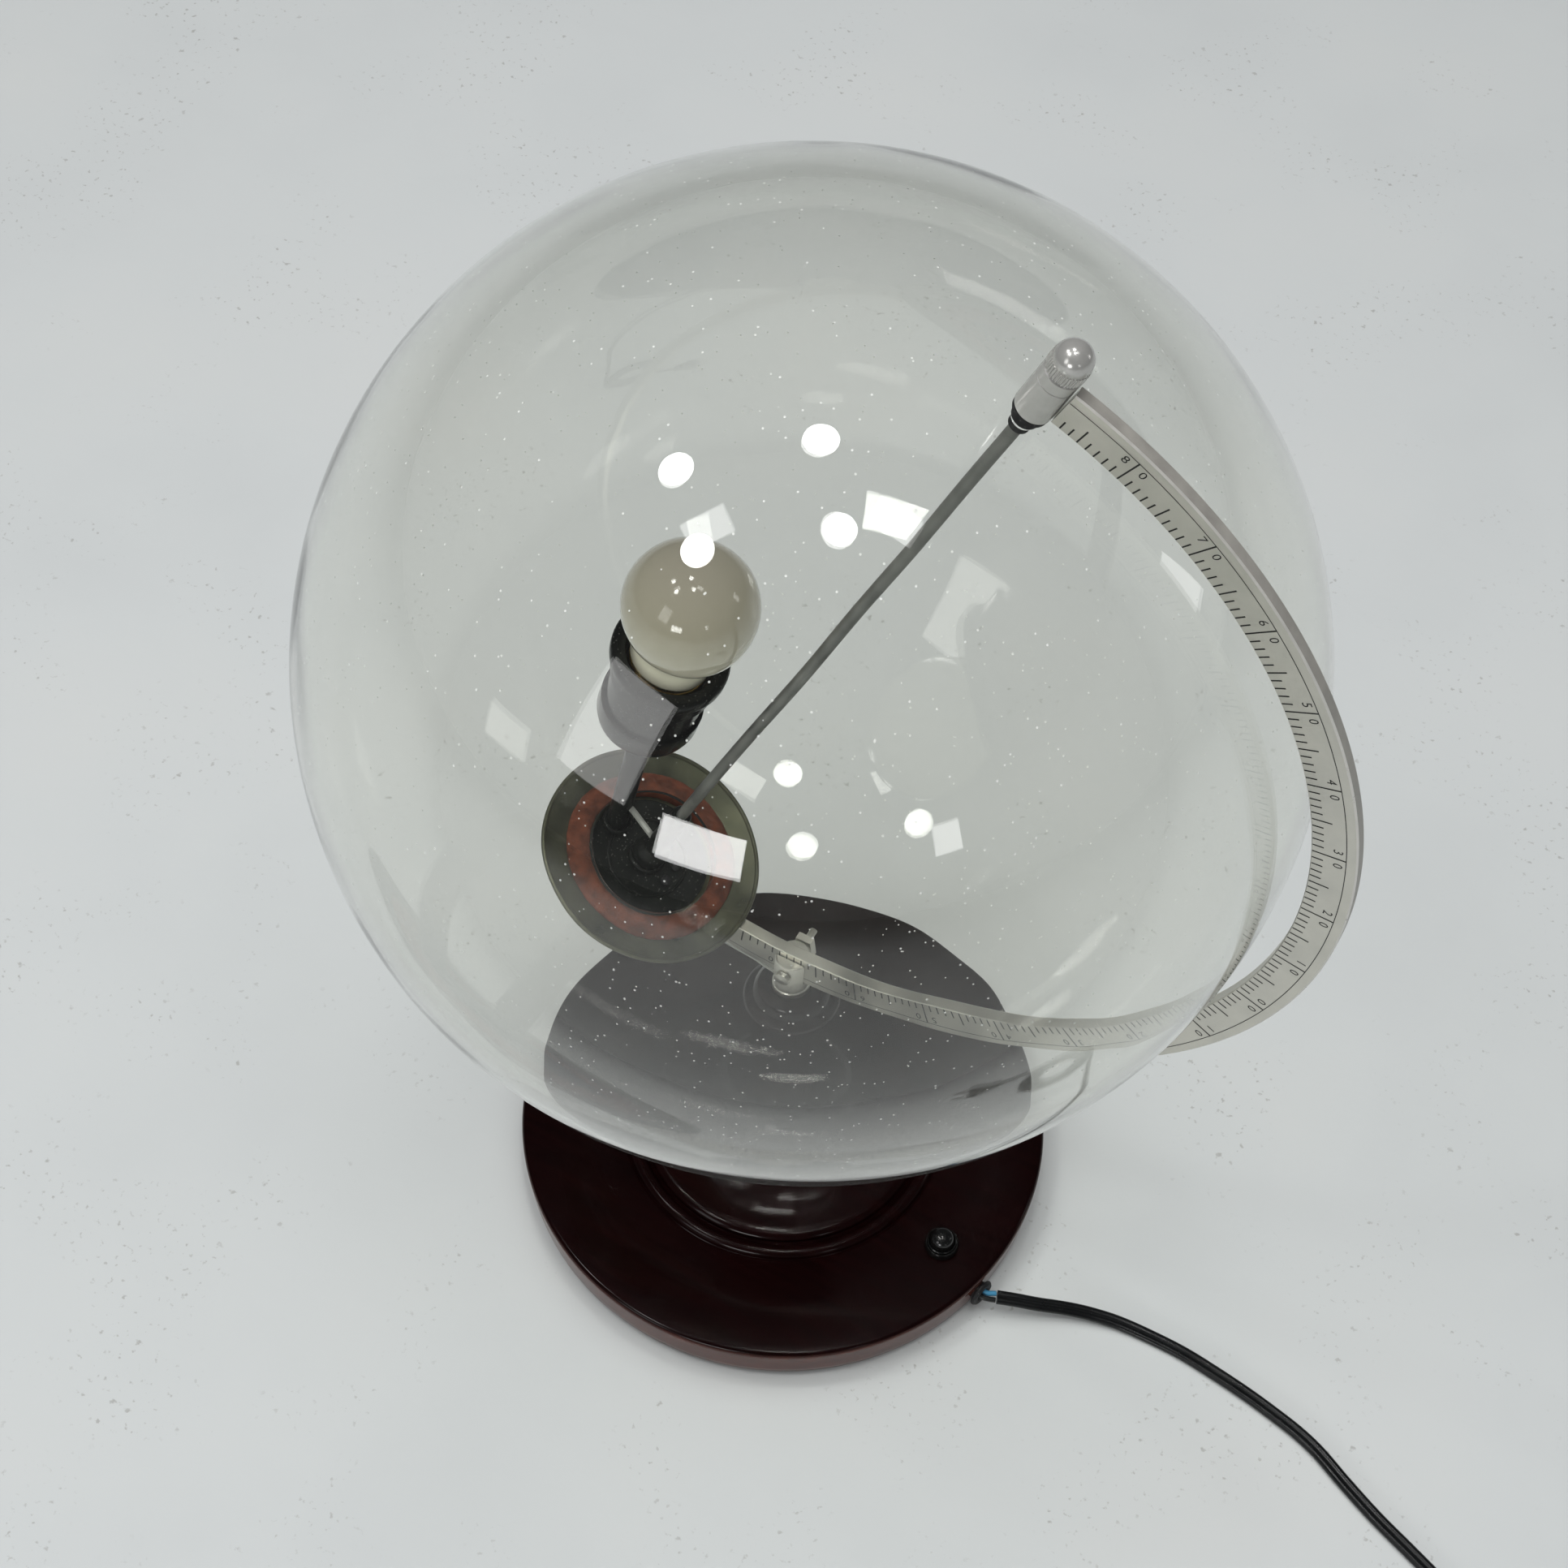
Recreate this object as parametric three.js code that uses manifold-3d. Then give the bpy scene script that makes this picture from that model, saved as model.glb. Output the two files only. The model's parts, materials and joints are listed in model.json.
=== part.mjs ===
// Illuminated glass globe lamp: a clear glass globe on a tilted axis, carried by a
// half-circle meridian arm on a turned wooden foot, with a bulb holder inside the glass.
//
// Millimetres, +Z up. The origin is the centre of the foot's rest face.
// The meridian arm lies in the XZ plane and the north end of the axis leans towards +X.

import * as THREE from 'three';
import { mergeVertices } from 'three/addons/utils/BufferGeometryUtils.js';
import Module from 'manifold-3d';

const wasm = await Module();
wasm.setup();

// ---------------------------------------------------------------------------
// Driving dimensions
// ---------------------------------------------------------------------------

const DEG = Math.PI / 180;
const GAP = 0.3; // clearance left between pieces that touch

const GLOBE_R = 170;
const GLASS_WALL = 2;
const GLOBE_Z = 326; // height of the globe's centre
const AXIS_TILT = 21.5; // lean of the globe's axis from the vertical, degrees
const MOUTH_R = 24.7; // south opening in the glass
const NORTH_HOLE_R = 3.8;

const ARM_INNER = 177.7;
const ARM_OUTER = 193;
const ARM_THICK = 4.7;
const AXLE_R = 2.2; // axis rod
const POST_R = 5; // threaded tubes, M10
const POST_BORE_R = 3.3;

const BASE_R = 107.2;
const BASE_TOP = 22;
const COLUMN_TOP = 123.5;
const SERVICE_ANGLE = -13.7; // direction of the switch and the cord outlet, degrees
const SWITCH_R = 86; // distance of the switch from the centre
const OUTLET_Z = 10.5;

const LAMP_CENTRE = new THREE.Vector3(-48, 4, -3.2); // bulb centre from the globe's centre
const LAMP_TILT = 14;
const BULB_R = 23.8;

const CORD_WIDTH = 5.9;
const CORD_THICK = 3.4;
const CORD_LENGTH = 1800;
const LEAD_R = 1.3;
const CORE_R = 1.1;

// ---------------------------------------------------------------------------
// Geometry helpers
// ---------------------------------------------------------------------------

function signedVolume(geometry) {
  const place = geometry.getAttribute('position');
  const corners = geometry.index.array;
  const [a, b, c] = [0, 1, 2].map(() => new THREE.Vector3());
  let sum = 0;
  for (let i = 0; i < corners.length; i += 3) {
    a.fromBufferAttribute(place, corners[i]);
    b.fromBufferAttribute(place, corners[i + 1]);
    c.fromBufferAttribute(place, corners[i + 2]);
    sum += a.dot(b.cross(c)) / 6;
  }
  return sum;
}

/** Keep positions only, share vertices, drop empty triangles and point the faces outwards. */
function closed(source) {
  const bare = new THREE.BufferGeometry();
  bare.setAttribute('position', source.getAttribute('position').clone());
  if (source.index) bare.setIndex(source.index.clone());
  const merged = mergeVertices(bare, 1e-3);
  const corners = merged.index.array;
  const kept = [];
  for (let i = 0; i < corners.length; i += 3) {
    const [a, b, c] = corners.slice(i, i + 3);
    if (a !== b && b !== c && c !== a) kept.push(a, b, c);
  }
  merged.setIndex(kept);
  if (signedVolume(merged) < 0) {
    for (let i = 0; i < kept.length; i += 3) [kept[i], kept[i + 1]] = [kept[i + 1], kept[i]];
    merged.setIndex(kept);
  }
  return merged;
}

function toManifold(geometry) {
  const mesh = new wasm.Mesh({
    numProp: 3,
    vertProperties: new Float32Array(geometry.getAttribute('position').array),
    triVerts: new Uint32Array(geometry.index.array),
  });
  return new wasm.Manifold(mesh);
}

function fromManifold(body) {
  const { vertProperties, triVerts } = body.getMesh();
  const geometry = new THREE.BufferGeometry();
  geometry.setAttribute('position', new THREE.BufferAttribute(vertProperties, 3));
  geometry.setIndex(new THREE.BufferAttribute(triVerts, 1));
  return geometry;
}

function cut(geometry, ...tools) {
  return fromManifold(tools.reduce((body, tool) => body.subtract(toManifold(tool)), toManifold(geometry)));
}

function join(geometry, ...others) {
  return fromManifold(others.reduce((body, other) => body.add(toManifold(other)), toManifold(geometry)));
}

/** Solid of revolution about Z from [radius, z] points. */
function turned(profile, segments = 24) {
  const points = profile.map(([radius, z]) => new THREE.Vector2(radius, z));
  return closed(new THREE.LatheGeometry(points, segments).rotateX(Math.PI / 2));
}

const ring = (inner, outer, low, high, segments) =>
  turned([[inner, low], [outer, low], [outer, high], [inner, high], [inner, low]], segments);

const disc = (radius, low, high, segments) =>
  turned([[0, low], [radius, low], [radius, high], [0, high]], segments);

/** Points of an arc about the origin in the [radius, z] plane; angles from +Z, degrees. */
function polarArc(radius, from, to, steps) {
  return Array.from({ length: steps + 1 }, (_, i) => {
    const angle = (from + ((to - from) * i) / steps) * DEG;
    return [radius * Math.sin(angle), radius * Math.cos(angle)];
  });
}

/** Angle from +Z of the point on a sphere that lies this far from the axis, degrees. */
const polarAngle = (offset, radius) => Math.asin(offset / radius) / DEG;

/** Cylinder along Y, used as a pin or a drill. */
const crossPin = (radius, length, segments = 16) =>
  closed(new THREE.CylinderGeometry(radius, radius, length, segments));

const hexagon = (radius, low, high) =>
  closed(new THREE.CylinderGeometry(radius, radius, high - low, 6).rotateX(Math.PI / 2)
    .translate(0, 0, (low + high) / 2));

function roundSection(radius, sides = 8) {
  const corner = (_, i) => new THREE.Vector2(
    radius * Math.cos((i * 2 * Math.PI) / sides),
    radius * Math.sin((i * 2 * Math.PI) / sides),
  );
  return new THREE.Shape(Array.from({ length: sides }, corner));
}

/** Flat cord section with round edges: thickness along x, width along y. */
function flatSection() {
  const radius = CORD_THICK / 2;
  const shift = CORD_WIDTH / 2 - radius;
  const points = [];
  for (const side of [1, -1]) {
    for (const angle of [0, 45, 90, 135, 180]) {
      points.push(new THREE.Vector2(
        side * radius * Math.cos(angle * DEG),
        side * (shift + radius * Math.sin(angle * DEG)),
      ));
    }
  }
  return new THREE.Shape(points);
}

function sweep(section, points, steps) {
  const extrudePath = new THREE.CatmullRomCurve3(points, false, 'centripetal');
  return closed(new THREE.ExtrudeGeometry(section, { steps, extrudePath }));
}

// ---------------------------------------------------------------------------
// Frames and placing
// ---------------------------------------------------------------------------

const model = new THREE.Group();

// Globe frame: origin at the globe's centre, local Z along the axis to the north.
const axisFrame = new THREE.Group();
axisFrame.position.z = GLOBE_Z;
axisFrame.rotation.y = AXIS_TILT * DEG;
model.add(axisFrame);

// Lamp frame: origin at the bulb's centre, local Z out of the holder.
const lampFrame = new THREE.Group();
lampFrame.position.copy(LAMP_CENTRE).setZ(LAMP_CENTRE.z + GLOBE_Z);
lampFrame.rotation.y = LAMP_TILT * DEG;
model.add(lampFrame);

// Service frame: local X points from the foot's centre towards the cord outlet.
const serviceFrame = new THREE.Group();
serviceFrame.rotation.z = SERVICE_ANGLE * DEG;
model.add(serviceFrame);

model.updateMatrixWorld(true);

/** A point given in one frame, as coordinates of the model. */
const placed = (frame, x, y, z) => frame.localToWorld(new THREE.Vector3(x, y, z));

function finish(color, roughness, metalness = 0, opacity = 1) {
  return new THREE.MeshStandardMaterial({
    color, roughness, metalness, opacity, transparent: opacity < 1,
  });
}

const FINISH = {
  felt: finish(0x2c3a2e, 1),
  wood: finish(0x2a0f0e, 0.25),
  iron: finish(0x4a4a4a, 0.7, 1),
  zinc: finish(0xa9a9a4, 0.4, 1),
  nickel: finish(0xb9b8b0, 0.3, 1),
  rod: finish(0x5d5d59, 0.5, 1),
  glass: finish(0xd5ddd6, 0.05, 0, 0.2),
  bulb: finish(0xb4b09a, 0.15, 0, 0.9),
  dish: finish(0x6f7264, 0.5, 1),
  gasket: finish(0x7a3a26, 0.8),
  black: finish(0x101312, 0.4),
  rubber: finish(0x0c0d0d, 0.7),
  brass: finish(0xb08d4a, 0.35, 1),
  ceramic: finish(0xded9cc, 0.3),
  blue: finish(0x3d7fa6, 0.4),
  clear: finish(0x8f918a, 0.3, 0, 0.8),
};

function add(frame, name, geometry, material) {
  const mesh = new THREE.Mesh(geometry, material);
  mesh.name = name;
  frame.add(mesh);
  return mesh;
}

// ---------------------------------------------------------------------------
// Foot: felt, wooden disc, ballast, through tube and turned column
// ---------------------------------------------------------------------------

const FELT_TOP = 1.7;
const RECESS_R = 96;
const RECESS_TOP = 14.5;
const BALLAST_R = 70;
const BALLAST_LOW = 8.5;
const BALLAST_SCREW_R = 60; // radius of the circle that the ballast screws stand on
const BEAD_R = 62.5;
const BEAD_HALF = 3;
const POST_HOLE_R = POST_R + GAP;

function baseDisc() {
  const low = FELT_TOP + GAP;
  const bead = Array.from({ length: 6 }, (_, i) => {
    const angle = (i * Math.PI) / 5;
    return [BEAD_R + BEAD_HALF * Math.cos(angle), BASE_TOP + 0.9 * BEAD_HALF * Math.sin(angle)];
  });
  const body = turned([
    [RECESS_R, low], [BASE_R - 3.4, low], [BASE_R - 2, low + 1.4], [BASE_R - 0.6, BASE_TOP - 9],
    [BASE_R, BASE_TOP - 3], [BASE_R - 0.5, BASE_TOP - 1], [BASE_R - 2, BASE_TOP],
    ...bead,
    [POST_HOLE_R, BASE_TOP], [POST_HOLE_R, RECESS_TOP], [RECESS_R, RECESS_TOP], [RECESS_R, low],
  ], 48);
  const switchHole = disc(SWITCH_BARREL_R + GAP, RECESS_TOP - 1, BASE_TOP + 1)
    .translate(SWITCH_R, 0, 0).rotateZ(SERVICE_ANGLE * DEG);
  const outlet = disc(OUTLET_R, RECESS_R - 2, BASE_R + 3, 20).rotateY(90 * DEG)
    .translate(0, 0, OUTLET_Z).rotateZ(SERVICE_ANGLE * DEG);
  const pilots = ballastScrewPlaces().map(([x, y]) => disc(2.2, RECESS_TOP - 1, 19.8, 12).translate(x, y, 0));
  return cut(body, switchHole, outlet, ...pilots);
}

function ballastScrewPlaces() {
  return [90, 210, 330].map((angle) =>
    [BALLAST_SCREW_R * Math.cos(angle * DEG), BALLAST_SCREW_R * Math.sin(angle * DEG)]);
}

function buildFoot() {
  add(model, 'felt_pad', disc(102, 0, FELT_TOP, 48), FINISH.felt);
  add(model, 'base_disc', baseDisc(), FINISH.wood);

  const holes = ballastScrewPlaces().map(([x, y]) => disc(2.2, 0, 20, 12).translate(x, y, 0));
  const ballast = ring(12.6, BALLAST_R, BALLAST_LOW, RECESS_TOP - GAP, 40);
  add(model, 'ballast_ring', cut(ballast, ...holes), FINISH.iron);
  ballastScrewPlaces().forEach(([x, y], i) => {
    const screw = turned([[0, 6.8], [3.4, 6.8], [4, 7.4], [4, 8.2], [1.9, 8.2], [1.9, 17.5], [0, 19.4]], 14);
    add(model, `ballast_screw_${i + 1}`, screw, FINISH.zinc).position.set(x, y, 0);
  });

  add(model, 'tie_tube', ring(POST_BORE_R, POST_R, 8.6, COLUMN_TOP + 2.5, 20), FINISH.zinc);
  add(model, 'tie_washer', ring(POST_HOLE_R, 11, 13, RECESS_TOP - GAP, 20), FINISH.zinc);
  add(model, 'tie_nut', cut(hexagon(9, 9, 12.7), disc(POST_HOLE_R, 8, 14, 20)), FINISH.zinc);
  add(model, 'column', column(), FINISH.wood);
}

/** Turned column: wide foot, hollow curve up to a slim shaft, collar at the top. */
function column() {
  const low = BASE_TOP + GAP;
  const footR = BEAD_R - BEAD_HALF - 2.2;
  const shaftR = 15.5;
  const coveHeight = 36;
  const cove = Array.from({ length: 9 }, (_, i) => {
    const angle = (i * 90 * DEG) / 8;
    return [
      shaftR + (footR - 5 - shaftR) * (1 - Math.sin(angle)),
      low + 3.4 + coveHeight * (1 - Math.cos(angle)),
    ];
  });
  return turned([
    [POST_HOLE_R, low], [footR, low], [footR + 0.6, low + 1.2], [footR - 0.4, low + 2.6], [footR - 2.6, low + 3.2],
    ...cove,
    [shaftR - 0.6, 84], [shaftR, 106], [shaftR + 1.2, 111], [shaftR + 3, 113], [shaftR + 3.4, 115.2],
    [shaftR + 2.4, 117.2], [shaftR - 0.4, 118.4], [shaftR - 0.9, 121.4], [shaftR - 2.6, COLUMN_TOP],
    [POST_HOLE_R, COLUMN_TOP], [POST_HOLE_R, low],
  ], 28);
}

// ---------------------------------------------------------------------------
// Push-button switch and cord outlet in the foot
// ---------------------------------------------------------------------------

const SWITCH_BODY_R = 7;
const SWITCH_BARREL_R = 5.8;
const BUTTON_R = 4.9;
const OUTLET_R = 4.3;

function buildSwitch() {
  const x = SWITCH_R;
  const body = turned([
    [0, 5.2], [SWITCH_BODY_R, 5.2], [SWITCH_BODY_R, RECESS_TOP - GAP], [SWITCH_BARREL_R, RECESS_TOP - GAP],
    [SWITCH_BARREL_R, BASE_TOP + 4.4], [BUTTON_R + GAP, BASE_TOP + 4.4], [BUTTON_R + GAP, 15.5], [0, 15.5],
  ], 24);
  const nut = turned([
    [SWITCH_BARREL_R + GAP, BASE_TOP + GAP], [SWITCH_BARREL_R + 1.1, BASE_TOP + GAP],
    [SWITCH_BARREL_R + 1.1, BASE_TOP + 2.6], [SWITCH_BARREL_R + 0.6, BASE_TOP + 3.6],
    [SWITCH_BARREL_R + GAP, BASE_TOP + 3.6], [SWITCH_BARREL_R + GAP, BASE_TOP + GAP],
  ], 24);
  const button = turned([
    [0, 19.2], [BUTTON_R, 19.2], [BUTTON_R, BASE_TOP + 6], [BUTTON_R - 0.5, BASE_TOP + 7.8],
    [BUTTON_R - 1.9, BASE_TOP + 9.1], [0, BASE_TOP + 9.8],
  ], 24);
  add(serviceFrame, 'switch_body', body, FINISH.black).position.x = x;
  add(serviceFrame, 'switch_ring', nut, FINISH.black).position.x = x;
  add(serviceFrame, 'switch_button', button, FINISH.black).position.x = x;

  const tab = () => closed(new THREE.BoxGeometry(2.6, 3, 0.8));
  add(serviceFrame, 'switch_terminal_1', tab(), FINISH.brass).position.set(x + 3.4, 0, 4.4);
  add(serviceFrame, 'switch_terminal_2', tab(), FINISH.brass).position.set(x - 3.4, 0, 4.4);
}

function buildOutlet() {
  const grommet = turned([
    [2.9, RECESS_R + 0.8], [OUTLET_R - GAP, RECESS_R + 0.8], [OUTLET_R - GAP, BASE_R + GAP],
    [5.8, BASE_R + GAP], [5.8, BASE_R + 1.4], [5.2, BASE_R + 2.1], [2.9, BASE_R + 2.1], [2.9, RECESS_R + 0.8],
  ], 20).rotateY(90 * DEG);
  add(serviceFrame, 'cord_grommet', grommet, FINISH.rubber).position.z = OUTLET_Z;
}

// ---------------------------------------------------------------------------
// Meridian arm, its clamp on the column, and the north fitting
// ---------------------------------------------------------------------------

const CLAMP_SCREW_DEPTH = 186; // distance of the clamp screw from the globe's centre
const CLAMP_R = 7;
const SLEEVE_R = 6.2;

/** Offset of the lowest point of a circle of this radius, in the globe frame's X and Z. */
const lowest = (radius) => [radius * Math.sin(AXIS_TILT * DEG), -radius * Math.cos(AXIS_TILT * DEG)];

function meridianArm() {
  const north = 89 * DEG;
  const south = -93.2 * DEG;
  const outline = new THREE.Shape();
  outline.absarc(0, 0, ARM_OUTER, north, south, true);
  outline.absarc(0, 0, ARM_INNER, south, north, false);
  const blade = closed(new THREE.ExtrudeGeometry(outline, {
    depth: ARM_THICK, bevelEnabled: false, curveSegments: 24,
  }).rotateX(90 * DEG).translate(0, ARM_THICK / 2, 0));
  const [x, z] = lowest(CLAMP_SCREW_DEPTH);
  const boss = disc(8.5, -ARM_OUTER - 0.4, -ARM_INNER + 0.2, 24);
  return cut(
    join(blade, boss),
    disc(POST_HOLE_R, -210, -165, 24),
    disc(SLEEVE_R + GAP, 165, 210, 32),
    crossPin(1.8, 12).translate(x, 0, z),
  );
}

function armClamp() {
  const low = COLUMN_TOP + GAP;
  const slotLow = GLOBE_Z - ARM_OUTER - GAP;
  const leadZ = low + 4.6;
  const head = turned([
    [0, low + 7], [POST_HOLE_R, low + 7], [POST_HOLE_R, low], [CLAMP_R - 0.9, low], [CLAMP_R + 0.4, low + 1.2],
    [CLAMP_R + 0.4, low + 3.6], [CLAMP_R, low + 4.2], [CLAMP_R, 144], [CLAMP_R - 0.9, 145.2], [0, 145.2],
  ], 28);
  const slot = closed(new THREE.BoxGeometry(30, ARM_THICK + 2 * GAP, 40)).translate(0, 0, slotLow + 20);
  const leadHole = disc(LEAD_R + 0.6, 0, 12, 12).rotateY(-90 * DEG).translate(0, 0, leadZ);
  const screwHole = crossPin(1.8, 30).translate(0, 0, GLOBE_Z - CLAMP_SCREW_DEPTH);
  return cut(head, slot, leadHole, screwHole);
}

function buildArm() {
  add(axisFrame, 'meridian_arm', meridianArm(), FINISH.nickel);
  add(model, 'arm_clamp', armClamp(), FINISH.nickel);

  const z = GLOBE_Z - CLAMP_SCREW_DEPTH;
  const face = CLAMP_R + GAP;
  const screw = turned([
    [0, -face - 9], [1.5, -face - 9], [1.5, face], [3.4, face], [3.2, face + 1.6], [0, face + 2],
  ], 16).rotateX(90 * DEG);
  add(model, 'clamp_screw', screw, FINISH.nickel).position.z = z;

  const wing = new THREE.Shape([[-4.6, -4.4], [4.6, -4.4], [3.2, 4.8], [-3.2, 4.8]]
    .map(([x, y]) => new THREE.Vector2(x, y)));
  const nut = closed(new THREE.ExtrudeGeometry(wing, { depth: 3, bevelEnabled: false })
    .rotateX(90 * DEG).translate(0, face + 3, 0));
  add(model, 'clamp_nut', cut(nut, crossPin(1.8, 40)), FINISH.nickel).position.z = z;
}

function buildNorthFitting() {
  const domeZ = 202.6;
  const domeR = 5.5;
  const dome = polarArc(domeR, 90, 0, 6).map(([r, z]) => [r, z + domeZ]);
  add(axisFrame, 'north_sleeve', turned([
    [AXLE_R + GAP, 176], [SLEEVE_R - 0.3, 176], [SLEEVE_R, 176.3], [SLEEVE_R, 196.4], [SLEEVE_R - 0.3, 196.7],
    [AXLE_R + GAP, 196.7], [AXLE_R + GAP, 176],
  ], 28), FINISH.nickel);
  add(axisFrame, 'north_cap', turned([
    [AXLE_R + GAP, 197], [6.3, 197], [6.3, 201.4], [domeR + 0.1, domeZ - 0.3], ...dome,
    [0, 203], [AXLE_R + GAP, 203], [AXLE_R + GAP, 197],
  ], 28), FINISH.nickel);
  add(axisFrame, 'axis_rod', disc(AXLE_R, -152, 202, 14), FINISH.rod);
}

// ---------------------------------------------------------------------------
// Globe: glass, its north bush and washer, its south gasket and cup
// ---------------------------------------------------------------------------

const CUP_INNER = 176; // radius of the cup's upper face, about the globe's centre
const CUP_OUTER = 177.2;
const CUP_RIM_R = 43.7;

/** Bowl-shaped shell between two spheres about the globe's centre, south side. */
function southShell(upper, lower, innerR, outerR, steps, segments) {
  const arc = (radius, from, to) =>
    polarArc(radius, 180 - polarAngle(from, radius), 180 - polarAngle(to, radius), steps);
  const profile = [...arc(upper, innerR, outerR), ...arc(lower, outerR, innerR)];
  return turned([...profile, profile[0]], segments);
}

function buildGlobe() {
  const glassIn = GLOBE_R - GLASS_WALL;
  const bands = 15;
  const outside = polarArc(GLOBE_R, polarAngle(NORTH_HOLE_R, GLOBE_R), 180 - polarAngle(MOUTH_R, GLOBE_R), bands);
  const inside = polarArc(glassIn, 180 - polarAngle(MOUTH_R, glassIn), polarAngle(NORTH_HOLE_R, glassIn), bands);
  add(axisFrame, 'globe_glass', turned([...outside, ...inside, outside[0]], 40), FINISH.glass);

  add(axisFrame, 'south_cup', southShell(CUP_INNER, CUP_OUTER, POST_HOLE_R, CUP_RIM_R, 6, 36), FINISH.dish);

  const seat = CUP_INNER - GAP;
  const gasketIn = MOUTH_R + 0.6;
  const gasketOut = 34.1;
  add(axisFrame, 'south_gasket', turned([
    ...polarArc(seat, 180 - polarAngle(gasketIn, seat), 180 - polarAngle(gasketOut, seat), 3),
    [gasketOut, -171.6], [gasketOut - 1.4, -170.4], [29.6, -168.6], [gasketIn, -168.5],
    [seat * Math.sin(polarAngle(gasketIn, seat) * DEG), -seat * Math.cos(polarAngle(gasketIn, seat) * DEG)],
  ], 36), FINISH.gasket);

  add(axisFrame, 'north_bush', turned([
    [AXLE_R + GAP, 164.8], [3.4, 164.8], [3.4, 170.4], [4.6, 170.4], [4.6, 173.2], [AXLE_R + GAP, 173.2],
    [AXLE_R + GAP, 164.8],
  ], 18), FINISH.rubber);
  add(axisFrame, 'north_washer', ring(AXLE_R + GAP, 5.8, 173.5, 175.7, 20), FINISH.rubber);
}

// ---------------------------------------------------------------------------
// South fitting inside and below the cup
// ---------------------------------------------------------------------------

const PLATE_TOP = 174.6; // radius of the inner plate's upper face
const PLATE_R = 23.6;
const LEAD_HOLE_Z = -158; // where the lead leaves the rod socket

function buildSouthFitting() {
  const plate = southShell(PLATE_TOP, CUP_INNER - GAP, POST_HOLE_R, PLATE_R, 3, 28);
  add(axisFrame, 'inner_plate', plate, FINISH.black);
  add(axisFrame, 'south_post', ring(POST_BORE_R, POST_R, -202, -166.1, 20), FINISH.zinc);
  add(axisFrame, 'post_ring', turned([
    [POST_HOLE_R, -174.1], [7.2, -174.1], [7.2, -172], [6.6, -171.4], [POST_HOLE_R, -171.4], [POST_HOLE_R, -174.1],
  ], 20), FINISH.black);
  add(axisFrame, 'south_washer', ring(POST_HOLE_R, 8.2, -194.9, -193.7, 20), FINISH.zinc);
  add(axisFrame, 'south_nut', cut(hexagon(8.6, -199.6, -195.2), disc(POST_HOLE_R, -205, -190, 20)), FINISH.zinc);

  const bore = AXLE_R + GAP;
  const socket = turned([
    [POST_HOLE_R, -171.1], [6.6, -171.1], [6.6, -166], [4.2, -162.6], [3.8, -131.4], [3.4, -131], [bore, -131],
    [bore, -164.4], [POST_HOLE_R, -165.7], [POST_HOLE_R, -171.1],
  ], 20);
  const sideHole = disc(LEAD_R + 1.1, 0, 10, 12).rotateY(-90 * DEG).translate(0, 0, LEAD_HOLE_Z);
  add(axisFrame, 'rod_socket', cut(socket, sideHole), FINISH.black);

  [1, -1].forEach((side, i) => {
    const screw = turned([[0, -173.7], [1.9, -173.7], [1.9, -172.8], [1.2, -172.2], [0, -172.1]], 14);
    add(axisFrame, `plate_screw_${i + 1}`, screw, FINISH.iron).position.set(10.8, side * 3.5, 0);
  });
}

// ---------------------------------------------------------------------------
// Lamp: stalk, holder and bulb
// ---------------------------------------------------------------------------

const STALK_FOOT = [-17.5, 4, -172.3]; // in the globe frame
const STALK_R = 4.2;
const STALK_BORE_R = 3;
const HOLDER_LOW = -77;

const STALK_HOLE = 13.5; // height of the lead's hole above the stalk's foot

// Stalk frame: origin at the stalk's foot, local Z up the tube, local X towards the axis rod.
const stalkFrame = new THREE.Group();
stalkFrame.position.copy(placed(axisFrame, ...STALK_FOOT));
const stalkSpan = placed(lampFrame, 0, 0, HOLDER_LOW + 1).sub(stalkFrame.position);
stalkFrame.quaternion.setFromUnitVectors(new THREE.Vector3(0, 0, 1), stalkSpan.clone().normalize());
model.add(stalkFrame);
model.updateMatrixWorld(true);

function buildStalk() {
  const tube = ring(STALK_BORE_R, STALK_R, 0, stalkSpan.length(), 20);
  const leadHole = disc(LEAD_R + 1.1, 0, 8, 12).rotateY(90 * DEG).translate(0, 0, STALK_HOLE);
  add(stalkFrame, 'lamp_stalk', cut(tube, leadHole), FINISH.black);

  const flange = ring(STALK_R + 0.7, 6, -172.5, -169.9, 20);
  add(axisFrame, 'stalk_foot', flange, FINISH.black).position.set(STALK_FOOT[0], STALK_FOOT[1], 0);
}

function buildHolder() {
  add(lampFrame, 'holder_cap', turned([
    [4.8, -81], [7.5, -81], [7.8, -79], [12, -78.2], [16.4, -76], [18.8, -72], [18.8, -63.3], [17.2, -63.3],
    [17.2, -71], [15.2, -74], [11, HOLDER_LOW + 0.6], [4.8, HOLDER_LOW], [4.8, -81],
  ]), FINISH.black);
  add(lampFrame, 'holder_body', ring(15.9, 17.4, -63, -36.6), FINISH.black);
  add(lampFrame, 'holder_ring', turned([
    [17.7, -46], [19.2, -46], [19.2, -39], [20.4, -37.2], [21.5, -35.2], [21.5, -32.4], [20.6, -31], [17.4, -30.6],
    [16, -31.6], [16, -36.3], [17.7, -36.3], [17.7, -46],
  ]), FINISH.black);
  add(lampFrame, 'holder_insert', ring(2.2, 15.6, -62.5, -57.5, 28), FINISH.ceramic);
  add(lampFrame, 'screw_shell', ring(13.5, 14.1, -57.2, -35, 28), FINISH.brass);
  add(lampFrame, 'centre_contact', turned([
    [0, -61], [1.8, -61], [1.8, -56], [4, -55.6], [4, -54.6], [0, -54.6],
  ], 16), FINISH.brass);
}

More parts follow.
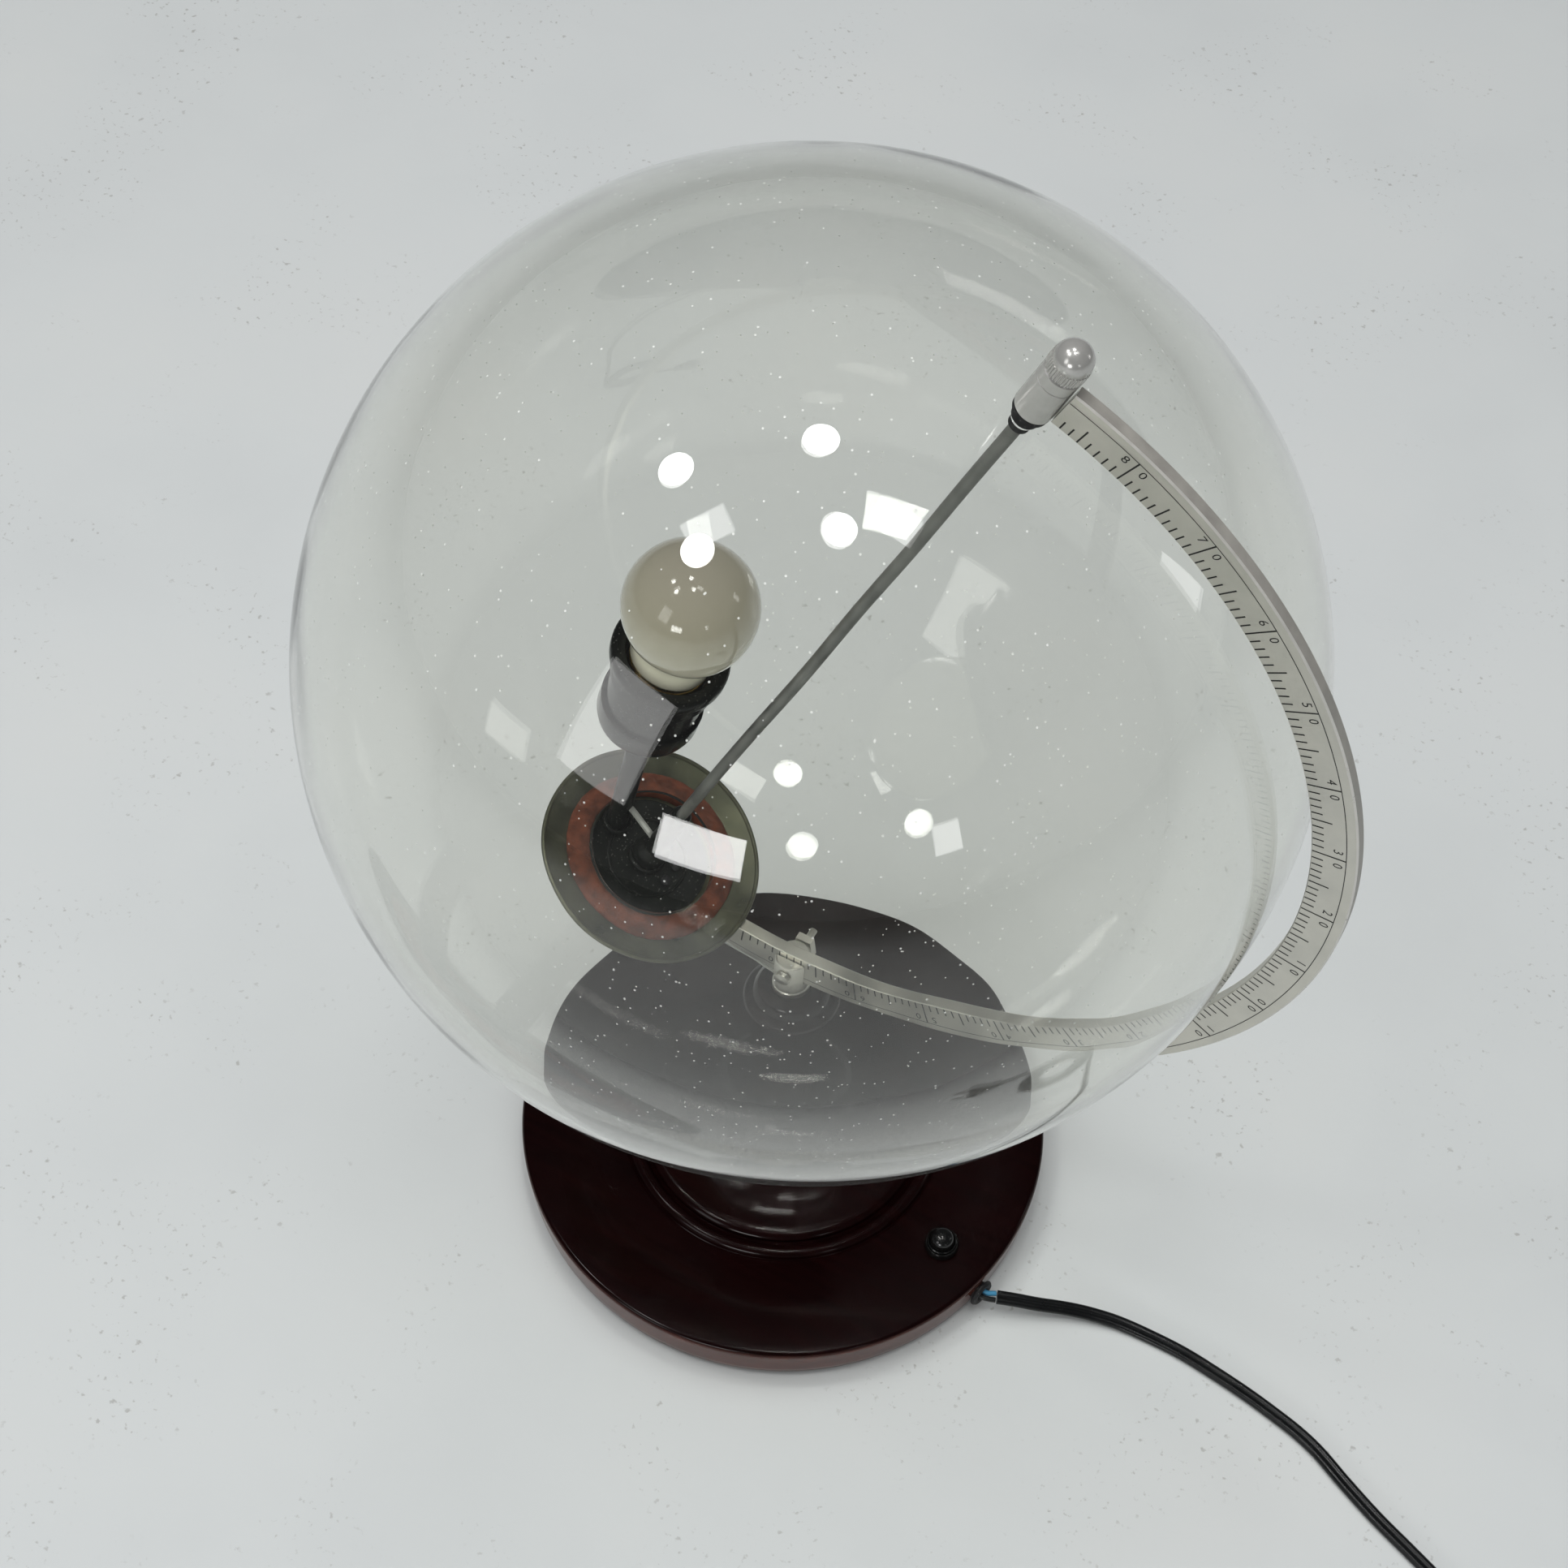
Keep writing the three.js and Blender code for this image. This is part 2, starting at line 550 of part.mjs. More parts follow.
function buildBulb() {
  const neckR = 14.3;
  const wall = 0.9;
  const innerR = BULB_R - wall;
  const outside = polarArc(BULB_R, 0, 180 - polarAngle(neckR, BULB_R), 10);
  const inside = polarArc(innerR, 180 - polarAngle(neckR - wall, innerR), 0, 7);
  add(lampFrame, 'bulb_glass', turned([
    ...outside, [neckR, -31.5], [neckR - 1, -33], [neckR - 1.8, -33], [neckR - wall, -31.2], ...inside,
  ], 28), FINISH.bulb);
  add(lampFrame, 'bulb_cap', turned([
    [0, -52.3], [5, -52.3], [9, -51.8], [13.1, -48.5], [13.1, -33.3], [12.5, -33.3], [12.5, -48], [8.6, -51], [0, -51.4],
  ], 28), FINISH.zinc);
  add(lampFrame, 'bulb_contact', disc(4.2, -54.2, -52.6, 16), FINISH.zinc);
}

// ---------------------------------------------------------------------------
// Wiring inside the lamp
// ---------------------------------------------------------------------------

const CONNECTOR = { x: 82, y: 34, z: 6.4, length: 14, width: 8, height: 7 };

function buildWiring() {
  const at = (x, y, z) => placed(serviceFrame, x, y, z);
  const { x, y, z, length, width, height } = CONNECTOR;
  const block = closed(new THREE.BoxGeometry(width, length, height));
  add(serviceFrame, 'wire_connector', block, FINISH.ceramic).position.set(x, y, z);
  const nearEnd = y - length / 2 - 2 * GAP;
  const farEnd = y + length / 2 + 2 * GAP;

  const wire = (points, steps, radius = CORE_R) => sweep(roundSection(radius, 8), points, steps);
  add(model, 'core_blue', wire([
    at(112.5, 4.1, 9.9), at(111.6, 3.1, 10.1), at(110.1, 1.7, 10.4), at(108, 1.3, 10.5), at(104, 1.3, 10.5),
    at(98, 1.3, 10.5), at(96.3, 1.6, 10.4), at(94.5, 3.5, 9.8), at(93.3, 7, 9), at(91, 14, 8),
    at(86.5, 20.5, 7), at(84.2, nearEnd - 2, 6.6), at(84, nearEnd, 6.6),
  ], 26), FINISH.blue);
  add(model, 'core_black', wire([
    at(114.2, 1.7, 9.9), at(112.2, 0.2, 10.2), at(110.2, -0.9, 10.4), at(108, -1.3, 10.5), at(104, -1.3, 10.5),
    at(98, -1.3, 10.5), at(96.2, -1.4, 10.1), at(94.8, -1.4, 8.6), at(94.5, -1.4, 6), at(94.3, -1.3, 4.2),
    at(93, -1, 3.3), at(91.1, -0.5, 3.3),
  ], 22), FINISH.black);
  add(model, 'switch_wire', wire([
    at(80.9, 0, 3.6), at(78.6, 1, 3.6), at(77, 5, 4.4), at(77, 12, 6), at(79, 19, 6.4),
    at(80, nearEnd - 2, 6.4), at(80, nearEnd, 6.4),
  ], 14), FINISH.black);
  add(model, 'lamp_lead', wire(lampLeadRoute(at(x, farEnd, z)), 78, LEAD_R), FINISH.clear);
}

/** From the connector up the column, along the arm, through the south post to the holder. */
function lampLeadRoute(start) {
  const at = (x, y, z) => placed(serviceFrame, x, y, z);
  const followR = ARM_OUTER + 2.4;
  const alongArm = [4, 8, 12, 15].map((angle) => new THREE.Vector3(
    -followR * Math.sin(angle * DEG), 0, GLOBE_Z - followR * Math.cos(angle * DEG),
  ));
  const leadZ = COLUMN_TOP + GAP + 4.6;
  return [
    start, start.clone().add(at(0, 2, 0)), at(79.5, 47, 5.6), at(72, 46, 4.6), at(50, 31, 4.3), at(20, 12, 4.3), at(6, 3, 4.6), at(1.2, 0.6, 6.4),
    new THREE.Vector3(0, 0, 10), new THREE.Vector3(0, 0, 50), new THREE.Vector3(0, 0, 95),
    new THREE.Vector3(0, 0, leadZ - 5), new THREE.Vector3(-1.4, 0, leadZ - 1.6),
    new THREE.Vector3(-4.6, 0, leadZ), new THREE.Vector3(-8.6, 0, leadZ + 0.3),
    ...alongArm,
    placed(axisFrame, 14, 0, -200), placed(axisFrame, 8, 0, -205.5), placed(axisFrame, 2.6, 0, -206.6),
    placed(axisFrame, 0, 0, -203.4), placed(axisFrame, 0, 0, -185), placed(axisFrame, 0, 0, LEAD_HOLE_Z - 5),
    placed(axisFrame, -0.7, 0, LEAD_HOLE_Z - 1.6), placed(axisFrame, -2.6, 0, LEAD_HOLE_Z), placed(axisFrame, -5.4, 0.5, LEAD_HOLE_Z),
    placed(axisFrame, -10, 2.4, LEAD_HOLE_Z - 0.4), placed(stalkFrame, 5.6, 0, STALK_HOLE),
    placed(stalkFrame, 3.2, 0, STALK_HOLE + 0.2), placed(stalkFrame, 1.1, 0, STALK_HOLE + 1.6),
    placed(stalkFrame, 0.2, 0, STALK_HOLE + 5), placed(stalkFrame, 0, 0, STALK_HOLE + 10),
    placed(stalkFrame, 0, 0, 66), placed(lampFrame, 0, 0, -72), placed(lampFrame, 0, 0, -65),
  ];
}

// ---------------------------------------------------------------------------
// Mains cord: run on the floor, stored coil, tail and plug
// ---------------------------------------------------------------------------

// Centreline of the run, from the end of its sheath at the foot to where the coil begins.
const CORD_REST_Z = 1.75;
const CORD_RUN = [
  [111.4, -23.8, 9.8], [118.6, -20.8, 9.0], [126.8, -17.3, 7.4], [136, -13, 5.8], [146, -9.2, 4.2],
  [158, -6.2, 2.6], [171.5, -5, CORD_REST_Z], [186, -5, CORD_REST_Z], [200.5, -6.4, CORD_REST_Z],
  [215.5, -8.4, CORD_REST_Z], [229, -10.9, CORD_REST_Z], [240, -13.4, CORD_REST_Z], [250.5, -17, CORD_REST_Z],
  [264, -23.4, CORD_REST_Z], [280, -30.4, CORD_REST_Z], [295.6, -36.2, CORD_REST_Z],
  [309, -41.2, CORD_REST_Z], [322, -46.2, CORD_REST_Z],
];
const COIL = { x: 343, y: -97, midR: 32, pitch: 6, lift: 0.9, layerStep: 3.6, entryAngle: 78 };
const TAIL_LENGTH = 62; // from the last turn to the plug
const RUN_LENGTH = 268; // from the sheath's end to the first turn
const TURNS_PER_LAYER = (CORD_LENGTH - RUN_LENGTH - TAIL_LENGTH) / (4 * Math.PI * COIL.midR);

const coilOuterR = COIL.midR + (COIL.pitch * TURNS_PER_LAYER) / 2;
const coilInnerR = COIL.midR - (COIL.pitch * TURNS_PER_LAYER) / 2;

/** Where the cord leaves the coil, which is wound clockwise seen from above. */
function coilExit() {
  const angle = (COIL.entryAngle - 2 * TURNS_PER_LAYER * 360) * DEG;
  const radial = new THREE.Vector3(Math.cos(angle), Math.sin(angle), 0);
  return { radial, along: new THREE.Vector3(Math.sin(angle), -Math.cos(angle), 0) };
}

function buildCord() {
  const run = CORD_RUN.map((point) => new THREE.Vector3(...point));
  add(model, 'cord_run', sweep(flatSection(), run, 30), FINISH.black);

  const low = COIL.lift;
  const high = COIL.lift + COIL.layerStep + CORD_THICK;
  const inner = coilInnerR - CORD_WIDTH / 2;
  const outer = coilOuterR + CORD_WIDTH / 2;
  add(model, 'cord_coil', turned([
    [inner, low + 1], [inner + 1, low], [outer - 1, low], [outer, low + 1], [outer, high - 1], [outer - 1, high],
    [inner + 1, high], [inner, high - 1], [inner, low + 1],
  ], 32), FINISH.black).position.set(COIL.x, COIL.y, 0);

  const band = 0.6;
  const tieShape = rectangle(inner - GAP - band, outer + GAP + band, 0.02, high + GAP + band);
  tieShape.holes.push(rectangle(inner - GAP, outer + GAP, 0.02 + band, high + GAP));
  const tie = closed(new THREE.ExtrudeGeometry(tieShape, { depth: 3, bevelEnabled: false })
    .rotateX(90 * DEG).translate(0, 1.5, 0).rotateZ(-145 * DEG));
  add(model, 'cord_tie', tie, FINISH.black).position.set(COIL.x, COIL.y, 0);

  const { radial, along } = coilExit();
  const exit = new THREE.Vector3(COIL.x, COIL.y, 0).addScaledVector(radial, coilOuterR);
  const tailPoint = (distance, z) => exit.clone().addScaledVector(along, distance).setZ(z);
  const tail = [tailPoint(25, 3.4), tailPoint(33, 2.6), tailPoint(42, 3), tailPoint(52, 4.8), tailPoint(TAIL_LENGTH, 6.6)];
  add(model, 'cord_tail', sweep(flatSection(), tail, 8), FINISH.black);
  buildPlug(tailPoint(TAIL_LENGTH + GAP, 0), along);
}

function rectangle(left, right, bottom, top) {
  return new THREE.Shape([[left, bottom], [right, bottom], [right, top], [left, top]]
    .map(([x, y]) => new THREE.Vector2(x, y)));
}

/** Flat two-pin plug lying on the floor: local X runs from the cord entry to the pins. */
function buildPlug(entry, along) {
  const plug = new THREE.Group();
  plug.position.copy(entry);
  plug.rotation.z = Math.atan2(along.y, along.x);
  model.add(plug);

  const thick = 13.6;
  const outline = new THREE.Shape([
    [0, -4.6], [10, -5.2], [20, -11], [27, -14.6], [36, -15], [37, -14],
    [37, 14], [36, 15], [27, 14.6], [20, 11], [10, 5.2], [0, 4.6],
  ].map(([x, y]) => new THREE.Vector2(x, y)));
  const body = closed(new THREE.ExtrudeGeometry(outline, { depth: thick, bevelEnabled: false }));
  add(plug, 'plug_body', body, FINISH.black);
  [1, -1].forEach((side, i) => {
    const pin = turned([[0, 0], [2, 0], [2, 18], [1, 19], [0, 19]], 14).rotateY(90 * DEG);
    add(plug, `plug_pin_${i + 1}`, pin, FINISH.nickel).position.set(37 + GAP, side * 9.3, thick / 2);
  });
}

buildFoot();
buildSwitch();
buildOutlet();
buildArm();
buildNorthFitting();
buildGlobe();
buildSouthFitting();
buildStalk();
buildHolder();
buildBulb();
buildWiring();
buildCord();

export default model;
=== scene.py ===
"""Looks of the glass globe lamp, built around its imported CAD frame.

Lengths in this script are millimetres until mesh() turns them into metres.
The globe's axis leans towards +X in the XZ plane; the foot stands on z = 0.
"""

import json
import math

import bmesh
import bpy
from mathutils import Matrix, Vector, noise


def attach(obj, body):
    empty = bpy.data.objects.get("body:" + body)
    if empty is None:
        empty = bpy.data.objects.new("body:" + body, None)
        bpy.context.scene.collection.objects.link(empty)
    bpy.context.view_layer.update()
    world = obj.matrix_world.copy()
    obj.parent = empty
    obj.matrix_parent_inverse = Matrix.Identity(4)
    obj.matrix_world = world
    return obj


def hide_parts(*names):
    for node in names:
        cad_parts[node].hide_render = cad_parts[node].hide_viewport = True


MM = 0.001

# ----- Driving dimensions, the same as the CAD part's -----

GAP = 0.3
GLOBE_R = 170
GLASS_WALL = 2
GLOBE_Z = 326
AXIS_TILT = 21.5
MOUTH_R = 24.7
NORTH_HOLE_R = 3.8

ARM_INNER = 177.7
ARM_OUTER = 193
ARM_THICK = 4.7
AXLE_R = 2.2
POST_R = 5
POST_HOLE_R = POST_R + GAP
POST_BORE_R = 3.3

BASE_R = 107.2
BASE_TOP = 22
RECESS_R = 96
RECESS_TOP = 14.5
BEAD_R = 62.5
BEAD_HALF = 3
COLUMN_TOP = 123.5
SERVICE_ANGLE = -13.7
SWITCH_R = 86
OUTLET_Z = 10.5

LAMP_CENTRE = (-48, 4, -3.2)
LAMP_TILT = 14
BULB_R = 23.8

CORD_WIDTH = 5.9
CORD_THICK = 3.4
CORD_LENGTH = 1800
LEAD_R = 1.3
CORE_R = 1.1

CAMERA_PLACE = (268.3, -552.5, 805.9 + GLOBE_Z)
CAMERA_RIGHT = (0.87447, 0.48417, 0.02980)
CAMERA_UP = (-0.41144, 0.70776, 0.57428)
CAMERA_LENS = 70.47
CAMERA_SENSOR = 36


def rotation(degrees, axis):
    return Matrix.Rotation(math.radians(degrees), 4, axis)


WORLD = Matrix.Identity(4)
AXIS = Matrix.Translation((0, 0, GLOBE_Z)) @ rotation(AXIS_TILT, "Y")
LAMP = Matrix.Translation((0, 0, GLOBE_Z)) @ Matrix.Translation(LAMP_CENTRE) @ rotation(LAMP_TILT, "Y")
SERVICE = rotation(SERVICE_ANGLE, "Z")
SWITCH = SERVICE @ Matrix.Translation((SWITCH_R, 0, 0))
OUTLET = SERVICE @ Matrix.Translation((0, 0, OUTLET_Z)) @ rotation(90, "Y")

# ----- Materials -----


def shader(name):
    """A new material with its node tree, principled shader and object coordinates."""
    material = bpy.data.materials.new(name)
    material.use_nodes = True
    tree = material.node_tree
    bsdf = tree.nodes["Principled BSDF"]
    coords = tree.nodes.new("ShaderNodeTexCoord").outputs["Object"]
    return material, tree, bsdf, coords


def node(tree, kind, inputs=(), **settings):
    made = tree.nodes.new("ShaderNode" + kind)
    for key, value in settings.items():
        setattr(made, key, value)
    for key, value in dict(inputs).items():
        if isinstance(value, bpy.types.NodeSocket):
            tree.links.new(value, made.inputs[key])
        else:
            made.inputs[key].default_value = value
    return made


def noise_of(tree, coords, size, detail=3.0, stretch=(1, 1, 1)):
    """Noise whose features are about `size` millimetres across."""
    mapping = node(tree, "Mapping", {"Vector": coords, "Scale": [s / (size * MM) for s in stretch]})
    made = node(tree, "TexNoise", {"Vector": mapping.outputs[0], "Scale": 1.0, "Detail": detail})
    return made.outputs["Fac"]


def specks(tree, coords, spacing, reach, share):
    """1 on small round specks, one in some of the cells about `spacing` millimetres across."""
    mapping = node(tree, "Mapping", {"Vector": coords, "Scale": [1 / (spacing * MM)] * 3})
    cells = node(tree, "TexVoronoi", {"Vector": mapping.outputs[0], "Scale": 1.0})
    chance = node(tree, "SeparateColor", {0: cells.outputs["Color"]}).outputs[0]
    chosen = node(tree, "Math", {0: chance, 1: share}, operation="GREATER_THAN").outputs[0]
    spot = node(tree, "Math", {0: cells.outputs["Distance"], 1: reach}, operation="LESS_THAN").outputs[0]
    return node(tree, "Math", {0: chosen, 1: spot}, operation="MULTIPLY").outputs[0]


def spread(tree, value, low, high, out_low=0.0, out_high=1.0):
    made = node(tree, "MapRange", {"Value": value, "From Min": low, "From Max": high,
                                   "To Min": out_low, "To Max": out_high})
    return made.outputs[0]


def ramp(tree, value, stops):
    made = tree.nodes.new("ShaderNodeValToRGB")
    tree.links.new(value, made.inputs[0])
    elements = made.color_ramp.elements
    while len(elements) < len(stops):
        elements.new(0.5)
    for element, (place, colour) in zip(elements, stops):
        element.position = place
        element.color = (*colour, 1)
    return made.outputs[0]


def blend_colours(tree, factor, first, second):
    made = node(tree, "Mix", data_type="RGBA")
    for index, value in ((0, factor), (6, first), (7, second)):
        if isinstance(value, bpy.types.NodeSocket):
            tree.links.new(value, made.inputs[index])
        else:
            made.inputs[index].default_value = value if index == 0 else (*value, 1)
    return made.outputs[2]


def indirect_rays(tree):
    """1 on shadow and diffuse rays, which carry light to what stands inside and behind glass."""
    path = tree.nodes.new("ShaderNodeLightPath")
    return node(tree, "Math", {0: path.outputs["Is Shadow Ray"], 1: path.outputs["Is Diffuse Ray"]},
                operation="MAXIMUM").outputs[0]


def surface(name, colour, roughness, metal=0.0, mottle=20, change=0.12, grain=0.6, bump=0.08,
            dust=0.0, coat=0.0, sheen=0.0, gloss=0.5):
    """Material with mottled colour, uneven roughness, fine bump and, if asked, dust specks."""
    material, tree, bsdf, coords = shader(name)
    patches = noise_of(tree, coords, mottle, 4.0)
    darker = [c * (1 - change) for c in colour]
    lighter = [min(1, c * (1 + change)) for c in colour]
    tint = ramp(tree, patches, [(0.3, darker), (0.7, lighter)])
    if dust:
        film = noise_of(tree, coords, 9, 3.0)
        grains = specks(tree, coords, 1.3, 0.22, 0.5)
        amount = node(tree, "Math", {0: grains, 1: dust}, operation="MULTIPLY").outputs[0]
        haze = node(tree, "Math", {0: film, 1: dust * 0.05}, operation="MULTIPLY").outputs[0]
        total = node(tree, "Math", {0: amount, 1: haze}, operation="ADD", use_clamp=True).outputs[0]
        tint = blend_colours(tree, total, tint, (0.55, 0.55, 0.5))
    tree.links.new(tint, bsdf.inputs["Base Color"])
    worn = spread(tree, patches, 0.3, 0.7, roughness * 0.8, min(1, roughness * 1.25))
    tree.links.new(worn, bsdf.inputs["Roughness"])
    bsdf.inputs["Metallic"].default_value = metal
    bsdf.inputs["Coat Weight"].default_value = coat
    bsdf.inputs["Coat Roughness"].default_value = 0.08
    bsdf.inputs["Sheen Weight"].default_value = sheen
    bsdf.inputs["Specular IOR Level"].default_value = gloss
    relief = node(tree, "Bump", {"Height": noise_of(tree, coords, grain, 2.0), "Strength": bump,
                                 "Distance": grain * 0.2 * MM})
    tree.links.new(relief.outputs[0], bsdf.inputs["Normal"])
    return material


def lacquered_wood(name):
    """Near-black wine-red lacquer on turned wood, painted lighter and redder on the side of the foot as
    painted light.
    """
    material, tree, bsdf, coords = shader(name)
    split = node(tree, "SeparateXYZ", {0: coords})
    x2 = node(tree, "Math", {0: split.outputs[0], 1: 2.0}, operation="POWER").outputs[0]
    y2 = node(tree, "Math", {0: split.outputs[1], 1: 2.0}, operation="POWER").outputs[0]
    sum2 = node(tree, "Math", {0: x2, 1: y2}, operation="ADD").outputs[0]
    radius = node(tree, "Math", {0: sum2, 1: 0.5}, operation="POWER").outputs[0]
    # Painted light: the side wall of the foot, picked out by these masks, gets a lighter red than the top.
    rim = spread(tree, radius, (BASE_R - 5.5) * MM, (BASE_R - 5) * MM)
    below = spread(tree, split.outputs[2], (BASE_TOP - 0.6) * MM, (BASE_TOP - 2.4) * MM)
    edge = node(tree, "Math", {0: rim, 1: below}, operation="MULTIPLY", use_clamp=True).outputs[0]
    streaks = noise_of(tree, coords, 30, 6.0, (1, 9, 1))
    top = ramp(tree, streaks, [(0.3, (0.0036, 0.0009, 0.001)), (0.75, (0.0085, 0.0017, 0.0018))])
    # Lighter red for the side of the foot: painted light.
    side = ramp(tree, noise_of(tree, coords, 8, 4.0, (1, 1, 3)),
                [(0.3, (0.05, 0.013, 0.009)), (0.7, (0.105, 0.028, 0.018))])
    tree.links.new(blend_colours(tree, edge, top, side), bsdf.inputs["Base Color"])
    worn = spread(tree, noise_of(tree, coords, 14, 4.0), 0.35, 0.7, 0.13, 0.2)
    tree.links.new(worn, bsdf.inputs["Roughness"])
    bsdf.inputs["Specular IOR Level"].default_value = 0.16
    bsdf.inputs["Coat Weight"].default_value = 0.07
    bsdf.inputs["Coat Roughness"].default_value = 0.06
    flat = node(tree, "CombineXYZ", {0: radius, 2: split.outputs[2]}).outputs[0]
    rings = noise_of(tree, flat, 0.7, 1.0)
    pores = noise_of(tree, coords, 2.5, 3.0, (1, 6, 1))
    height = node(tree, "Math", {0: rings, 1: pores}, operation="ADD").outputs[0]
    relief = node(tree, "Bump", {"Height": height, "Strength": 0.16, "Distance": 0.06 * MM})
    tree.links.new(relief.outputs[0], bsdf.inputs["Normal"])
    return material


def globe_glass(name):
    """Clear blown glass, slightly grey-green, with specks and a film of dust settled on its lower half."""
    material, tree, bsdf, coords = shader(name)
    bsdf.inputs["Base Color"].default_value = (0.962, 0.966, 0.94, 1)
    bsdf.inputs["Roughness"].default_value = 0.0
    bsdf.inputs["IOR"].default_value = 1.5
    bsdf.inputs["Transmission Weight"].default_value = 1.0
    film = node(tree, "BsdfDiffuse", {"Color": (0.86, 0.87, 0.84, 1)})
    facing = node(tree, "LayerWeight", {"Blend": 0.5}).outputs["Facing"]
    edge = node(tree, "Math", {0: facing, 1: 5.0}, operation="POWER").outputs[0]
    height = node(tree, "SeparateXYZ", {0: coords}).outputs[2]
    settled = spread(tree, height, (GLOBE_Z - 20) * MM, (GLOBE_Z - 150) * MM, 0.0, 0.012)
    patchy = spread(tree, noise_of(tree, coords, 45, 5.0), 0.3, 0.75, 0.4, 1.2)
    layer = node(tree, "Math", {0: settled, 1: 0.0015}, operation="ADD").outputs[0]
    cloud = node(tree, "Math", {0: layer, 1: patchy}, operation="MULTIPLY").outputs[0]
    spots = specks(tree, coords, 3.6, 0.1, 0.72)
    grains = node(tree, "Math", {0: spots, 1: 0.7}, operation="MULTIPLY").outputs[0]
    rim = node(tree, "Math", {0: edge, 1: 0.06}, operation="MULTIPLY").outputs[0]
    dusty = node(tree, "Math", {0: cloud, 1: grains}, operation="ADD").outputs[0]
    amount = node(tree, "Math", {0: dusty, 1: rim}, operation="ADD", use_clamp=True).outputs[0]
    dirty = node(tree, "MixShader", {0: amount, 1: bsdf.outputs[0], 2: film.outputs[0]})
    passing = node(tree, "BsdfTransparent", {"Color": (0.965, 0.968, 0.96, 1)})
    whole = node(tree, "MixShader", {0: indirect_rays(tree), 1: dirty.outputs[0], 2: passing.outputs[0]})
    tree.links.new(whole.outputs[0], tree.nodes["Material Output"].inputs["Surface"])
    return material


def pearl_glass(name):
    """Smoky pearl bulb glass: glossy, darker at the top, with painted light low down and a painted dark rim.
    """
    material, tree, bsdf, coords = shader(name)
    height = node(tree, "SeparateXYZ", {0: coords}).outputs[2]
    low = (GLOBE_Z + LAMP_CENTRE[2] - BULB_R) * MM
    high = (GLOBE_Z + LAMP_CENTRE[2] + BULB_R) * MM
    # Painted light: lighter towards the bottom, standing for light shining through the pearl glass.
    tint = ramp(tree, spread(tree, height, low, high),
                [(0.0, (0.95, 0.92, 0.76)), (0.3, (0.78, 0.75, 0.60)), (0.7, (0.40, 0.375, 0.285)),
                 (1.0, (0.30, 0.28, 0.225))])
    # Painted dark rim where the glass is seen edge-on.
    facing = node(tree, "LayerWeight", {"Blend": 0.5}).outputs["Facing"]
    line = spread(tree, facing, 0.86, 1.0, 0.0, 0.75)
    tree.links.new(blend_colours(tree, line, tint, (0.1, 0.1, 0.075)), bsdf.inputs["Base Color"])
    bsdf.inputs["Roughness"].default_value = 0.07
    bsdf.inputs["Coat Weight"].default_value = 0.8
    bsdf.inputs["Coat Roughness"].default_value = 0.03
    ripple = noise_of(tree, coords, 30, 2.0)
    relief = node(tree, "Bump", {"Height": ripple, "Strength": 0.1, "Distance": 0.2 * MM})
    tree.links.new(relief.outputs[0], bsdf.inputs["Normal"])
    # Most light passes through to the neck and the holder.
    passed = node(tree, "Math", {0: indirect_rays(tree), 1: 0.9}, operation="MULTIPLY").outputs[0]
    clear = node(tree, "BsdfTransparent", {"Color": (0.95, 0.94, 0.86, 1)})
    whole = node(tree, "MixShader", {0: passed, 1: bsdf.outputs[0], 2: clear.outputs[0]})
    tree.links.new(whole.outputs[0], tree.nodes["Material Output"].inputs["Surface"])
    return material


def floor_paint(name):
    """Pale painted floor with faint clouds and pits."""
    material, tree, bsdf, coords = shader(name)
    clouds = ramp(tree, noise_of(tree, coords, 160, 6.0),
                  [(0.3, (0.635, 0.66, 0.662)), (0.5, (0.66, 0.685, 0.685)), (0.7, (0.675, 0.695, 0.69))])
    pits = spread(tree, noise_of(tree, coords, 3.2, 5.0), 0.62, 0.70, 0.0, 0.5)
    patches = spread(tree, noise_of(tree, coords, 70, 3.0), 0.5, 0.6)
    marks = node(tree, "Math", {0: pits, 1: patches}, operation="MULTIPLY").outputs[0]
    tree.links.new(blend_colours(tree, marks, clouds, (0.27, 0.26, 0.235)), bsdf.inputs["Base Color"])
    bsdf.inputs["Roughness"].default_value = 0.62
    waves = noise_of(tree, coords, 12, 6.0)
    relief = node(tree, "Bump", {"Height": waves, "Strength": 0.3, "Distance": 0.5 * MM})
    tree.links.new(relief.outputs[0], bsdf.inputs["Normal"])
    return material


